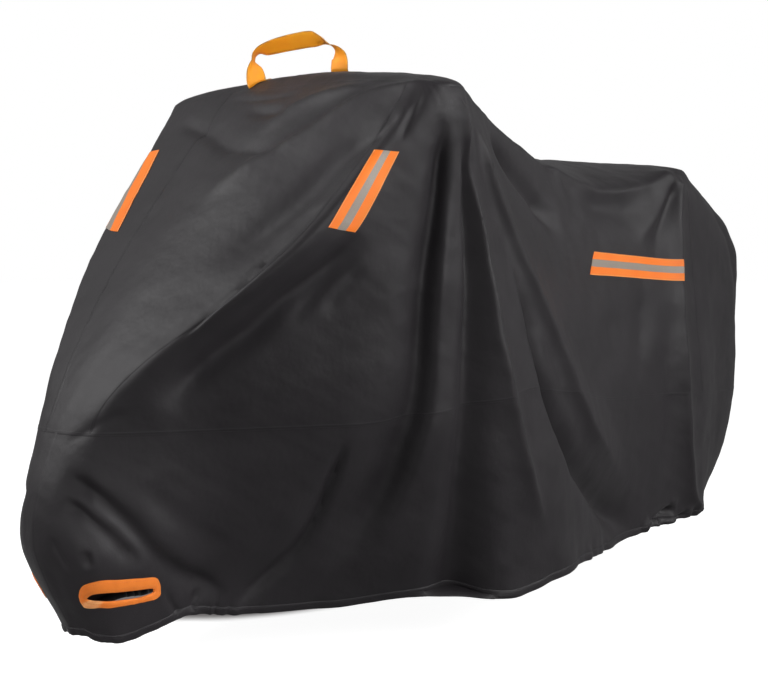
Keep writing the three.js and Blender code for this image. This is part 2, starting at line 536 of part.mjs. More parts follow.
/** The band of cloth that holds a slot, cut out from a shell over its cells. */
function lockBandSolid(side, name) {
  const panel = panels.find(row => row.name === name);
  const band = solid(shell(cellsOf(panel), -cloth.thickness, 0, cloth.seamGap / 2));
  return band.subtract(plug(slotOutline(side, 0), slot.reach));
}

/** Tape folded round a slot's edge: a thick ring over both faces, hollowed where the cloth lies in it. */
function bindingSolid(side, name) {
  const bandCells = cellsOf(panels.find(row => row.name === name));
  const { width, thickness, clearance } = binding;
  const inner = clearance + thickness;
  const whole = solid(shell(bandCells, -cloth.thickness - inner, inner));
  const room = solid(shell(bandCells, -cloth.thickness - clearance, clearance));
  const tape = whole.intersect(plug(slotOutline(side, width), slot.reach));
  const opening = plug(slotOutline(side, -inner), slot.reach);
  const clothRoom = room.subtract(plug(slotOutline(side, -clearance), slot.reach));
  return tape.subtract(opening).subtract(clothRoom);
}

/** A strip sewn flat on the cloth, over the outline through its corners. */
function stripSolid(marks) {
  const edges = 5;
  const outline = marks.flatMap((mark, k) => {
    const next = marks[(k + 1) % marks.length];
    const partWay = share => mark.map((value, axis) => THREE.MathUtils.lerp(value, next[axis], share));
    return evenly(0, edges).map(partWay);
  });
  const margin = 1;
  const ribNumbers = marks.map(([rib]) => rib);
  const rowNumbers = marks.map(([, row]) => row);
  const nearby = cellsOf({
    ribs: [Math.min(...ribNumbers) - margin, Math.max(...ribNumbers) + margin],
    rows: [Math.min(...rowNumbers) - margin / 2, Math.max(...rowNumbers) + margin / 2],
  });
  return solid(shell(nearby, sewnGap, sewnGap + strip.thickness)).intersect(plug(outline, strip.reach));
}

/** Flat bar of a rectangular section along a list of stations: each has a centre, the direction of the
 *  section's width and the direction of its thickness. Its upper and lower faces are split along the same
 *  diagonals, so that it stays evenly thick where it twists. */
function ribbon(stations, width, thickness) {
  const section = [[1, 1], [-1, 1], [-1, -1], [1, -1]];
  const vertices = stations.flatMap(({ centre, wide, thick }) => section.map(([a, b]) => (
    centre.clone().addScaledVector(wide, a * width / 2).addScaledVector(thick, b * thickness / 2))));
  const triangles = [];
  const quad = (a, b, c, d) => triangles.push(a, b, c, a, c, d);
  for (let k = 0; k + 1 < stations.length; k += 1) {
    const [a, b, c, d] = section.map((_, corner) => 4 * k + corner);
    quad(a, b, b + 4, a + 4);
    quad(b, c, c + 4, b + 4);
    quad(d, d + 4, c + 4, c);
    quad(d, a, a + 4, d + 4);
  }
  const last = 4 * (stations.length - 1);
  quad(3, 2, 1, 0);
  quad(last, last + 1, last + 2, last + 3);
  return solid(solidGeometry(vertices, triangles));
}

/** The carry handle: webbing that stands on its feet, turned out of its plane at the pinched corners, and a
 *  flat tab behind each foot that is sewn to the crown. */
function handleSolid() {
  const turn = THREE.MathUtils.degToRad(handle.turn);
  const across = new THREE.Vector3(Math.sin(turn), -Math.cos(turn), 0);
  const behind = new THREE.Vector3(Math.cos(turn), Math.sin(turn), 0);
  const up = new THREE.Vector3(0, 0, 1);
  const middle = new THREE.Vector3(handle.back - origin.back, -handle.out, 0);
  const crownCells = cellsOf({ ribs: handle.ribs, rows: [0, 1] });
  const [crownDepth, farAbove, tabRoom] = [30, 2000, 60];
  const crownSolid = solid(shell(crownCells, -crownDepth, sewnGap));
  const crownTop = new THREE.Mesh(geometryOf(crownSolid), new THREE.MeshBasicMaterial());
  const crownHeight = point => {
    const ray = new THREE.Raycaster(new THREE.Vector3(point.x, point.y, farAbove), up.clone().negate());
    const [hit] = ray.intersectObject(crownTop);
    return hit.point.z;
  };
  const feet = crownHeight(middle);
  const t = handleStations.map((_, k) => k / (handleStations.length - 1));
  const marks = handleStations.map(({ across: a, up: b, lean }) => [a, b, lean]);
  const slopes = slopesThrough(t, marks);
  const pointAt = q => cubicAt(t, marks, slopes, THREE.MathUtils.clamp(q, 0, 1));
  const nearby = 0.01;
  const stations = Array.from({ length: handle.steps + 1 }, (_, k) => {
    const q = k / handle.steps;
    const [a, b, lean] = pointAt(q);
    const [before, after] = [pointAt(q - nearby), pointAt(q + nearby)];
    const [run, climb] = [after[0] - before[0], after[1] - before[1]];
    const direction = across.clone().multiplyScalar(run).addScaledVector(up, climb).normalize();
    const inPlane = direction.clone().cross(behind);
    const wide = inPlane.applyAxisAngle(direction, THREE.MathUtils.degToRad(lean));
    const centre = middle.clone().addScaledVector(across, a).addScaledVector(up, feet + b);
    return { centre, wide, thick: direction.clone().cross(wide).normalize() };
  });
  const loop = ribbon(stations, webbing.width, webbing.thickness).subtract(crownSolid);
  const tabShell = solid(shell(crownCells, sewnGap, sewnGap + webbing.thickness));
  const tabs = [stations[0], stations.at(-1)].map(({ centre }) => {
    const box = new THREE.BoxGeometry(webbing.tab, webbing.width, tabRoom);
    box.deleteAttribute('normal');
    box.deleteAttribute('uv');
    const place = centre.clone().addScaledVector(behind, webbing.tab / 2 - webbing.thickness);
    box.applyMatrix4(new THREE.Matrix4().makeRotationZ(turn).setPosition(place.x, place.y, crownHeight(place)));
    return solid(box).intersect(tabShell);
  });
  return loop.add(tabs[0]).add(tabs[1]);
}

const cover = new THREE.Group();
function addPiece(name, geometry, material) {
  const mesh = new THREE.Mesh(geometry, material);
  mesh.name = name;
  cover.add(mesh);
}

const lockSides = { lock_band_left: 1, lock_band_right: -1 };
const bandCellKeys = new Set(Object.keys(lockSides)
  .flatMap(name => cellsOf(panels.find(panel => panel.name === name)))
  .map(({ i, j }) => `${i},${j}`));

for (const panel of panels) {
  if (panel.name in lockSides) {
    addPiece(panel.name, geometryOf(lockBandSolid(lockSides[panel.name], panel.name)), clothMaterial);
  } else {
    const panelCells = cellsOf(panel).filter(({ i, j }) => !bandCellKeys.has(`${i},${j}`));
    addPiece(panel.name, shell(panelCells, -cloth.thickness, 0, cloth.seamGap / 2), clothMaterial);
  }
}
for (const [name, side] of Object.entries(lockSides)) {
  addPiece(name.replace('band', 'binding'), geometryOf(bindingSolid(side, name)), bindingMaterial);
}
for (const { name, corners: marks } of strips) addPiece(name, geometryOf(stripSolid(marks)), stripMaterial);
addPiece('carry_handle', geometryOf(handleSolid()), webbingMaterial);

export default cover;
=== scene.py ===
"""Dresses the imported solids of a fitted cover: panels of black coated polyester with their folds, creases
and gathered hem, lapped seams with double stitching, reflective strips, bound slots and a webbing handle.

Lengths are metres and angles degrees. +X runs from the nose to the tail, +Y to the right and +Z up."""

import math
from collections import namedtuple

import bpy
import numpy as np
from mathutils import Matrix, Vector
from mathutils.bvhtree import BVHTree


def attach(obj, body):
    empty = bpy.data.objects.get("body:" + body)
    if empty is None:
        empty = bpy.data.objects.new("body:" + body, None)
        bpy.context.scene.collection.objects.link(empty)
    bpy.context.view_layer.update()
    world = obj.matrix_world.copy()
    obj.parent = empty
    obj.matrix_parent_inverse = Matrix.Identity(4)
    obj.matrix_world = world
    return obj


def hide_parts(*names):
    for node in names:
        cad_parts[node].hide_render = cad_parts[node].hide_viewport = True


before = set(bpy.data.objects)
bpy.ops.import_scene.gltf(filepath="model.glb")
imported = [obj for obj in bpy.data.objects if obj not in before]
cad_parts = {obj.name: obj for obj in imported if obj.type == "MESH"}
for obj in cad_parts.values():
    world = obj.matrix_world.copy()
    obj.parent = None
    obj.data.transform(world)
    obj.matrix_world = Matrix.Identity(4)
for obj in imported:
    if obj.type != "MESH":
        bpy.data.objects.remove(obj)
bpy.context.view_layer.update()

# Points in the tables are (back, out, high): back from a plumb line near the nose, out to the left from the
# middle plane, high over the ground. The part's own origin lies here in those terms.
ORIGIN_BACK, ORIGIN_HIGH = 0.9628, 0.0652

# Places on the cloth count in ribs round it and rows down it, as in RIBS: the front seams, the tail corners
# and the sides of the lock bands by rib, the hem and the tops of the lock bands by row.
FRONT_SEAM = {"left": 2 + 2 / 3, "right": -4 / 3}
TAIL_CORNER = 16
HEM = 5
LOCK_BAND = {"rib": 5, "row": 4 + 1 / 3}

CLOTH_THICKNESS = 0.0012
STITCH = {"pitch": 0.0052, "length": 0.0038, "width": 0.0009, "height": 0.0005, "depth": 0.0003}
LAP = {"width": 0.01, "spacing": 0.006, "stitches": (-0.003, 0.003), "height": 0.0004}
HEM_CASING = {"width": 0.019, "spacing": 0.005, "stitch": 0.0165, "height": 0.0014}
TAPE = {"thickness": 0.0011, "lift": 0.0013, "spacing": 0.004, "columns": 15, "inset": 0.05}

# A rib is a line that runs from the spine down to the hem. It passes the shoulder, the upper seam, the
# waist seam and the knee, which bulges out between waist and hem. The right side mirrors the left one.
Rib = namedtuple("Rib", "name spine shoulder upper waist bulge hem")
RIBS = [Rib(*row) for row in (
    ("nose centre", 0.455, (0.41, 0, 1.298), (0.06, 0), (-0.255, 0), 0.08, (-0.222, 0, 0.076)),
    ("nose inner", 0.462, (0.41, 0.15, 1.298), (0.08, 0.13), (-0.253, 0.032), 0.08, (-0.215, 0.03, 0.078)),
    ("nose outer", 0.47, (0.413, 0.3, 1.292), (0.11, 0.27), (-0.246, 0.066), 0.078, (-0.195, 0.062, 0.068)),
    ("at seam", 0.48, (0.425, 0.435, 1.278), (0.16, 0.385), (-0.228, 0.105), 0.07, (-0.165, 0.095, 0.065)),
    ("by seam", 0.487, (0.432, 0.452, 1.276), (0.225, 0.405), (-0.15, 0.165), 0.048, (-0.085, 0.12, 0.085)),
    ("front flank", 0.495, (0.44, 0.465, 1.275), (0.29, 0.425), (-0.04, 0.222), 0.025, (0.01, 0.13, 0.105)),
    ("under peak", 0.505, (0.455, 0.475, 1.275), (0.36, 0.447), (0.13, 0.315), 0.02, (0.11, 0.165, 0.095)),
    ("under back", 0.515, (0.47, 0.48, 1.275), (0.43, 0.468), (0.31, 0.41), 0.015, (0.28, 0.255, 0.095)),
    ("peak front", 0.525, (0.485, 0.48, 1.275), (0.48, 0.48), (0.47, 0.47), 0.015, (0.5, 0.38, 0.112)),
    ("peak back", 0.54, (0.51, 0.475, 1.274), (0.56, 0.475), (0.62, 0.5), 0.01, (0.68, 0.48, 0.095)),
    ("knee", 0.6, (0.58, 0.435, 1.258), (0.66, 0.44), (0.76, 0.485), 0.01, (0.84, 0.485, 0.115)),
    ("flank", 0.73, (0.73, 0.355, 1.222), (0.825, 0.38), (0.93, 0.43), 0.01, (1.0, 0.435, 0.128)),
    ("flank back", 0.93, (0.93, 0.285, 1.166), (1.0, 0.33), (1.08, 0.38), 0.01, (1.14, 0.38, 0.125)),
    ("dip", 1.15, (1.15, 0.237, 1.098), (1.17, 0.29), (1.24, 0.34), 0.01, (1.28, 0.32, 0.12)),
    ("dip back", 1.36, (1.36, 0.215, 1.067), (1.36, 0.265), (1.4, 0.31), 0.01, (1.43, 0.28, 0.128)),
    ("rise", 1.56, (1.56, 0.205, 1.085), (1.56, 0.25), (1.58, 0.29), 0.01, (1.6, 0.26, 0.138)),
    ("tail corner", 1.68, (1.73, 0.2, 1.13), (1.74, 0.235), (1.75, 0.27), 0.01, (1.77, 0.24, 0.148)),
    ("tail side", 1.72, (1.78, 0.17, 1.13), (1.92, 0.2), (1.915, 0.212), 0.015, (1.86, 0.19, 0.157)),
    ("tail back", 1.735, (1.8, 0.09, 1.14), (2.13, 0.13), (2.11, 0.14), 0.035, (1.94, 0.12, 0.16)),
    ("tail centre", 1.75, (1.81, 0, 1.14), (2.245, 0), (2.222, 0), 0.04, (1.995, 0, 0.16)),
)]
LAST_RIB = len(RIBS) - 1
RIB_COUNT = 2 * LAST_RIB

# Heights by distance back: of the spine, the upper seam and the waist seam.
SPINE_HEIGHT = [
    (0.4, 1.322), (0.53, 1.334), (0.8, 1.262), (1.05, 1.19), (1.3, 1.155), (1.6, 1.155), (1.8, 1.148)]
UPPER_HEIGHT = [(0.11, 0.94), (0.16, 0.962), (0.45, 1.02), (0.8, 0.98), (1.2, 0.93), (2.2, 0.88)]
WAIST_HEIGHT = [(-0.3, 0.52), (0.3, 0.525), (0.75, 0.585), (1.2, 0.52), (2.2, 0.48)]
KNEE = {"along": 0.52, "drop": 0.48, "from": 0.0, "to": 1.85}
RIB_LENGTHS = [0.33, 0.4, 0.46, 0.22, 0.22]   # usual lengths of cloth from one named row to the next

# A fold runs along its path of (rib, row) marks. left and right are its widths on the two sides of the
# path, height is out of the cloth, crisp sharpens its line, narrow is its size at the start as a share of
# the size at the end, and fade_in and fade_out are the shares of the path over which it dies away. Ribs
# below 0 lie on the right side.
Fold = namedtuple("Fold", "name left right height crisp narrow fade_in fade_out path")
FOLDS = [Fold(*row) for row in (
    ("peak trough", 0.09, 0.036, -0.046, 0.05, 0.25, 0.1, 0.28,
     [(6.41, 1.34), (6.97, 1.51), (7.2, 1.67), (7.25, 1.89), (7.27, 2.17), (7.36, 2.4), (7.5, 2.6),
      (7.57, 2.8), (7.54, 2.98), (7.45, 3.25), (7.4, 3.6), (7.32, 3.9), (7.22, 4.2), (7.08, 4.45),
      (6.86, 4.75)]),
    ("front trough", 0.042, 0.07, -0.046, 0.08, 0.25, 0.1, 0.001,
     [(8.28, 1.47), (8.58, 1.7), (8.67, 1.93), (8.7, 2.14), (8.64, 2.38), (8.48, 2.68), (8.41, 2.91),
      (8.36, 3.29), (8.28, 3.79), (8.26, 4.27), (8.25, 5.0)]),
    ("light band", 0.024, 0.034, 0.006, 0.2, 0.4, 0.15, 0.2,
     [(7.7, 1.89), (7.7, 2.15), (7.7, 2.4), (7.74, 2.7), (7.75, 2.95), (7.66, 3.3), (7.56, 3.65),
      (7.47, 4.0), (7.28, 4.45)]),
    ("bright crest", 0.05, 0.032, 0.035, 0.85, 0.42, 0.06, 0.24,
     [(8.45, 1.1), (8.66, 1.26), (8.62, 1.45), (8.65, 1.6), (8.78, 1.76), (8.95, 1.97), (9.04, 2.18),
      (9.04, 2.4), (9.03, 2.63), (9.09, 2.82), (9.15, 3.0), (9.22, 3.26), (9.28, 3.55), (9.39, 3.83),
      (9.53, 4.09), (9.7, 4.31), (9.95, 4.62)]),
    ("knee trough", 0.045, 0.065, -0.056, 0.08, 0.22, 0.2, 0.22,
     [(10.2, 2.3), (10.28, 2.57), (10.32, 2.84), (10.42, 3.1), (10.68, 3.46), (11.12, 3.84), (11.9, 4.19),
      (12.8, 4.51), (13.55, 4.76), (14.1, 4.96)]),
    ("knee ridge", 0.035, 0.11, 0.034, 0.45, 0.3, 0.12, 0.3,
     [(9.7, 1.28), (10.0, 1.45), (10.04, 1.64), (10.14, 1.87), (10.33, 2.09), (10.47, 2.27), (10.67, 2.43),
      (10.86, 2.58), (11.09, 2.72), (11.26, 2.87), (11.49, 3.08), (11.95, 3.45), (12.82, 3.83),
      (13.66, 4.25)]),
    ("flank trough", 0.035, 0.05, -0.036, 0.15, 0.45, 0.25, 0.3,
     [(10.8, 1.24), (10.98, 1.38), (11.35, 1.52), (11.7, 1.67), (12.05, 1.84), (12.35, 2.05)]),
    ("sail crest", 0.03, 0.045, 0.02, 0.75, 0.6, 0.08, 0.3,
     [(4.6, 0.85), (3.2, 1.02), (2.35, 1.15), (1.95, 1.28), (1.55, 1.43), (1.15, 1.54), (0.71, 1.64),
      (0.36, 1.74), (-0.1, 1.84)]),
    ("sail trough", 0.05, 0.05, -0.022, 0.1, 0.7, 0.2, 0.3,
     [(2.9, 1.38), (2.3, 1.58), (2.1, 1.77), (1.8, 1.95), (1.3, 2.15)]),
    ("swag", 0.014, 0.034, -0.015, 0.75, 1, 0.25, 0.25,
     [(-2.29, 1.3), (-1.7, 1.36), (-1.18, 1.41), (-0.67, 1.46), (-0.17, 1.5), (0.25, 1.52), (0.73, 1.55),
      (1.14, 1.56), (1.35, 1.55)]),
    ("upper ridge", 0.02, 0.026, 0.012, 0.5, 1, 0.3, 0.3,
     [(2.3, 1.1), (1.3, 1.17), (0.66, 1.3), (0.41, 1.39), (0.3, 1.48)]),
    ("nose hollow", 0.018, 0.018, -0.01, 0.2, 1, 0.4, 0.4, [(-0.56, 1.24), (0.02, 1.26), (0.78, 1.33)]),
    ("diagonal trough", 0.04, 0.04, -0.034, 0.2, 0.5, 0.2, 0.25,
     [(4.85, 2.06), (4.92, 2.2), (4.8, 2.31), (4.66, 2.4), (4.68, 2.52), (4.55, 2.61), (4.47, 2.69),
      (4.35, 2.8), (4.05, 2.9)]),
    ("diagonal second", 0.022, 0.022, -0.009, 0.15, 0.8, 0.3, 0.3,
     [(5.4, 2.14), (5.28, 2.24), (5.2, 2.34), (5.22, 2.44), (5.2, 2.54)]),
    ("diagonal third", 0.018, 0.018, -0.006, 0.15, 0.8, 0.3, 0.3,
     [(5.75, 2.26), (5.62, 2.36), (5.58, 2.48)]),
    ("nose fold upper", 0.04, 0.018, -0.025, 0.3, 0.6, 0.12, 0.2,
     [(1.7, 3.38), (2.53, 3.44), (3.13, 3.55), (3.44, 3.7), (3.7, 3.87), (3.97, 4.07), (4.22, 4.26),
      (4.46, 4.4), (4.72, 4.53), (5.06, 4.63), (5.38, 4.74), (5.6, 4.92)]),
    ("nose fold lower", 0.034, 0.016, -0.021, 0.25, 0.6, 0.15, 0.3,
     [(1.9, 3.6), (2.67, 3.73), (3.03, 3.82), (3.29, 3.93), (3.5, 4.06), (3.68, 4.21), (3.9, 4.36)]),
    ("nose light", 0.01, 0.01, 0.002, 0.5, 1, 0.2, 0.3,
     [(2.67, 3.52), (3.03, 3.62), (3.28, 3.75), (3.47, 3.9), (3.64, 4.04), (3.84, 4.19), (4.05, 4.32)]),
    ("nose soft", 0.045, 0.04, -0.008, 0.1, 0.8, 0.3, 0.3,
     [(3.9, 3.4), (4.16, 3.64), (4.68, 3.98), (5.15, 4.2), (5.6, 4.36)]),
    ("front sweep", 0.03, 0.014, -0.022, 0.55, 0.5, 0.2, 0.2,
     [(6.67, 3.08), (6.67, 3.33), (6.65, 3.57), (6.62, 3.91), (6.57, 4.16),
      (6.49, 4.35), (6.34, 4.54), (6.18, 4.7), (6.0, 4.85), (5.9, 5.0)]),
    ("dip edge", 0.022, 0.035, 0.014, 0.8, 1, 0.1, 0.05,
     [(12.6, 0.92), (12.95, 1.02), (13.3, 1.09), (13.65, 1.09), (14.0, 1.08), (14.43, 1.08), (14.9, 1.06),
      (15.3, 1.03), (15.72, 1.02)]),
    ("dip hollow", 0.045, 0.045, -0.014, 0.1, 1, 0.3, 0.3,
     [(13.2, 1.35), (13.8, 1.42), (14.4, 1.45), (14.9, 1.42)]),
    ("tail fold", 0.03, 0.018, 0.012, 0.5, 1, 0.1, 0.4,
     [(15.6, 1.08), (15.2, 1.42), (14.8, 1.72), (14.5, 2.0)]),
    ("tail shade", 0.022, 0.022, -0.014, 0.2, 1, 0.2, 0.4,
     [(15.65, 1.2), (15.4, 1.5), (15.1, 1.8), (14.9, 2.1)]),
    ("tail edge", 0.03, 0.04, 0.025, 0.9, 1, 0.05, 0.02,
     [(15.85, 1.05), (15.67, 1.42), (15.58, 1.67), (15.51, 2.09), (15.38, 2.55), (15.36, 2.8), (15.38, 3.2),
      (15.42, 3.7), (15.52, 4.2), (15.64, 4.62), (16.1, 5.0)]),
    ("tail soft upper", 0.04, 0.04, -0.008, 0.1, 1, 0.4, 0.4,
     [(14.6, 2.2), (14.45, 2.4), (14.2, 2.65), (14.0, 2.9)]),
    ("tail soft lower", 0.05, 0.045, -0.014, 0.1, 0.9, 0.4, 0.35,
     [(14.95, 2.4), (14.93, 3.0), (14.92, 3.6), (14.9, 4.2), (14.75, 4.7)]),
    ("hem lobe", 0.012, 0.014, 0.012, 0.6, 1, 0.1, 0.2,
     [(14.2, 5.0), (14.4, 4.88), (14.66, 4.78), (14.9, 4.73), (15.16, 4.7), (15.3, 4.72)]),
    ("hem lobe hollow", 0.016, 0.02, -0.028, 0.35, 1, 0.05, 0.3,
     [(14.48, 5.0), (14.64, 4.92), (14.85, 4.86), (15.08, 4.81), (15.25, 4.8)]),
    ("hem tuck", 0.01, 0.01, 0.01, 0.6, 1, 0.1, 0.2,
     [(14.95, 5.0), (15.2, 4.94), (15.42, 4.88), (15.71, 4.86)]),
    ("hem tuck hollow", 0.01, 0.014, -0.018, 0.35, 1, 0.05, 0.3,
     [(15.2, 5.0), (15.42, 4.96), (15.66, 4.93)]),
    ("right peak trough", 0.03, 0.046, -0.03, 0.3, 0.3, 0.1, 0.2,
     [(-6.5, 1.4), (-6.8, 1.8), (-6.9, 2.3), (-7.1, 2.8), (-6.9, 3.4), (-6.6, 4.0), (-6.2, 4.7)]),
    ("right front trough", 0.042, 0.042, -0.034, 0.2, 0.3, 0.1, 0.1,
     [(-8.5, 1.5), (-8.6, 2.0), (-8.45, 2.6), (-8.3, 3.1), (-8.25, 3.8), (-8.4, 4.9)]),
    ("right crest", 0.032, 0.048, 0.03, 0.7, 0.35, 0.08, 0.15,
     [(-9.9, 1.2), (-9.8, 1.7), (-9.6, 2.2), (-9.5, 2.8), (-9.6, 3.5), (-9.9, 4.2), (-10.2, 4.8)]),
    ("right knee trough", 0.055, 0.055, -0.046, 0.15, 0.3, 0.15, 0.22,
     [(-10.4, 1.7), (-10.5, 2.3), (-10.6, 2.9), (-10.8, 3.5), (-11.4, 4.1), (-12.4, 4.7)]),
    ("right knee ridge", 0.09, 0.035, 0.028, 0.4, 0.35, 0.12, 0.3,
     [(-10.8, 1.5), (-11.2, 2.1), (-11.6, 2.6), (-12.1, 3.2), (-13.0, 3.9)]),
    ("right flank trough", 0.042, 0.042, -0.026, 0.15, 0.5, 0.25, 0.25,
     [(-10.9, 1.2), (-11.6, 1.25), (-12.2, 1.45), (-12.6, 1.8), (-12.7, 2.3)]),
    ("right nose fold", 0.026, 0.026, -0.02, 0.3, 0.6, 0.15, 0.2,
     [(-1.2, 3.55), (-2.4, 3.7), (-3.4, 3.95), (-4.3, 4.4), (-5.2, 4.85)]),
    ("right diagonal", 0.036, 0.038, -0.024, 0.2, 0.5, 0.2, 0.25,
     [(-5.2, 1.9), (-4.9, 2.3), (-4.5, 2.6), (-3.8, 2.85)]),
    ("right tail edge", 0.036, 0.03, 0.016, 0.8, 1, 0.05, 0.05,
     [(-15.95, 1.05), (-15.8, 1.8), (-15.7, 2.5), (-15.75, 3.3), (-16.0, 4.2), (-16.2, 5.0)]),
    ("right tail soft", 0.035, 0.035, -0.014, 0.1, 0.8, 0.3, 0.3,
     [(-14.6, 1.9), (-14.4, 2.7), (-14.6, 3.4), (-14.2, 4.4)]),
    ("tail drape", 0.04, 0.04, -0.014, 0.2, 0.6, 0.2, 0.2,
     [(-17.6, 1.5), (-17.9, 2.2), (-18.2, 3.0), (-18.0, 3.8)]),
    ("tail drape left", 0.034, 0.034, -0.012, 0.2, 0.6, 0.2, 0.2,
     [(17.4, 1.4), (17.8, 2.1), (18.3, 2.8), (18.5, 3.6)]),
)]

# Creases are small folds that the solids don't have.
CREASES = [Fold(*row) for row in (
    ("short fold a", 0.016, 0.01, -0.007, 0.5, 1, 0.25, 0.3,
     [(3.26, 1.08), (3.62, 1.22), (3.98, 1.35), (4.12, 1.45), (4.23, 1.54)]),
    ("short fold b", 0.012, 0.012, -0.006, 0.3, 1, 0.3, 0.3, [(2.9, 1.32), (2.77, 1.42), (2.68, 1.52)]),
    ("short ridge", 0.009, 0.009, 0.003, 0.4, 1, 0.3, 0.3, [(3.19, 1.24), (3.37, 1.37), (3.56, 1.5)]),
    ("front crease", 0.008, 0.008, -0.007, 0.6, 1, 0.15, 0.2,
     [(2.55, 1.82), (2.5, 1.92), (2.47, 2.05), (2.42, 2.14), (2.5, 2.22), (2.58, 2.3), (2.66, 2.4),
      (2.88, 2.48), (3.05, 2.58)]),
    ("front crease ridge", 0.008, 0.014, 0.005, 0.5, 1, 0.15, 0.2,
     [(2.76, 1.88), (2.73, 2.05), (2.7, 2.15), (2.77, 2.26), (2.85, 2.34), (2.97, 2.43), (3.15, 2.52)]),
    ("low crease", 0.008, 0.01, -0.003, 0.5, 1, 0.3, 0.3, [(3.8, 2.88), (2.6, 2.98), (0.9, 3.1)]),
    ("nose spot", 0.008, 0.008, -0.008, 0.3, 1, 0.4, 0.4, [(2.84, 4.08), (2.8, 4.18), (2.74, 4.28)]),
    ("nose left", 0.006, 0.006, -0.005, 0.5, 1, 0.3, 0.3, [(1.3, 4.0), (1.65, 4.15), (2.0, 4.32)]),
    ("nose crease", 0.006, 0.006, -0.004, 0.5, 1, 0.3, 0.3, [(-1.1, 1.16), (-0.2, 1.14), (0.8, 1.12)]),
    ("nose tick", 0.006, 0.006, -0.004, 0.5, 1, 0.4, 0.4, [(-0.9, 1.32), (-0.95, 1.42)]),
    ("hem pinch a", 0.007, 0.009, -0.009, 0.4, 1, 0.4, 0.1, [(4.3, 4.62), (4.4, 4.78), (4.62, 4.97)]),
    ("hem pinch b", 0.007, 0.007, -0.009, 0.4, 1, 0.4, 0.1, [(5.14, 4.74), (5.04, 4.84), (4.98, 4.98)]),
)]

# The elastic gathers the hem into waves: between two ribs, with a wavelength and depth, below a row.
Gather = namedtuple("Gather", "name start end wave depth row")
GATHERS = [Gather(*row) for row in (
    ("nose", -4.5, 4.5, 0.05, 0.0012, 4.86),
    ("nose left", 4.4, 6.6, 0.048, 0.0022, 4.66),
    ("left", 6.2, 14.2, 0.16, 0.003, 4.66),
    ("tail left", 14.0, 17.2, 0.055, 0.003, 4.7),
    ("tail", 16.8, 21.2, 0.045, 0.005, 4.6),
    ("tail right", 20.8, 24.0, 0.055, 0.003, 4.7),
    ("right", -14.2, -6.2, 0.15, 0.0032, 4.66),
    ("nose right", -6.6, -4.4, 0.044, 0.0026, 4.64),
)]

# A section of cloth is a panel of ribs and rows. flat is the cut's width and length, and area its area.
Panel = namedtuple("Panel", "name ribs rows spacing flat area")
PANELS = [Panel(*row) for row in (
    ("crown", (0, RIB_COUNT), (0, 1), 0.0085, (0.96, 1.42), 0.83),
    ("front_panel", (FRONT_SEAM["right"], FRONT_SEAM["left"]), (1, 3), 0.0075, (0.62, 1.06), 0.45),
    ("side_panel_left", (FRONT_SEAM["left"], TAIL_CORNER), (1, 3), 0.0065, (0.8, 2.05), 1.15),
    ("side_panel_right", (-TAIL_CORNER, FRONT_SEAM["right"]), (1, 3), 0.008, (0.82, 2.1), 1.3),
    ("tail_panel", (TAIL_CORNER, RIB_COUNT - TAIL_CORNER), (1, 3), 0.0085, (0.68, 1.2), 0.73),
    ("skirt_left", (0, LAST_RIB), (3, HEM), 0.0056, (0.47, 2.75), 1.08),
    ("skirt_right", (LAST_RIB, RIB_COUNT), (3, HEM), 0.008, (0.47, 2.75), 1.08),
)]

# Slight unevenness of the cloth by wavelength and depth.
RUMPLES = [(0.3, 0.0012), (0.19, 0.0009), (0.12, 0.0006), (0.075, 0.0004), (0.05, 0.0003)]

# Seams run between two marks along a rib or a row, with so many rows of stitches. One over all ribs is a
# closed ring.
Seam = namedtuple("Seam", "name start end rows")
SEAMS = [Seam(*row) for row in (
    ("shoulder", (0, 1), (RIB_COUNT, 1), 2),
    ("waist", (0, 3), (RIB_COUNT, 3), 2),
    ("front left", (FRONT_SEAM["left"], 1), (FRONT_SEAM["left"], 3), 2),
    ("front right", (FRONT_SEAM["right"], 1), (FRONT_SEAM["right"], 3), 2),
    ("tail left", (TAIL_CORNER, 1), (TAIL_CORNER, 3), 2),
    ("tail right", (-TAIL_CORNER, 1), (-TAIL_CORNER, 3), 2),
    ("nose", (0, 3), (0, HEM), 0),
    ("tail", (LAST_RIB, 3), (LAST_RIB, HEM), 2),
)]

# Marks round a slot and round the outer edge of its binding, both from the end nearest the nose and over
# the top. The right-hand slot mirrors them.
SLOT_EDGE = [
    (2.28, 4.57), (2.59, 4.52), (3.06, 4.5), (3.41, 4.52), (3.72, 4.545), (4.02, 4.575), (4.06, 4.61),
    (3.98, 4.63), (3.7, 4.63), (3.37, 4.605), (2.97, 4.59), (2.49, 4.585)]
BINDING_EDGE = [
    (1.95, 4.56), (2.33, 4.44), (3.05, 4.38), (3.46, 4.405), (3.82, 4.44), (4.14, 4.49), (4.21, 4.61),
    (4.12, 4.69), (3.7, 4.68), (3.34, 4.66), (2.71, 4.65), (2.02, 4.66)]
SLOT_MIDDLE = (3.2, 4.56)

# The binding's section by its share of the way from the slot's edge and its height over the cloth.
BINDING_SECTION = [
    (1, 0.0002), (1, 0.0014), (0.9, 0.0022), (0.5, 0.0025), (0.15, 0.0022), (-0.02, 0.0008),
    (-0.05, -0.0006), (-0.02, -0.0022), (0.15, -0.003), (0.5, -0.0034), (1, -0.0028), (1, -0.0018)]
BINDING = {"pucker": 0.0004, "lift": 0.0024}

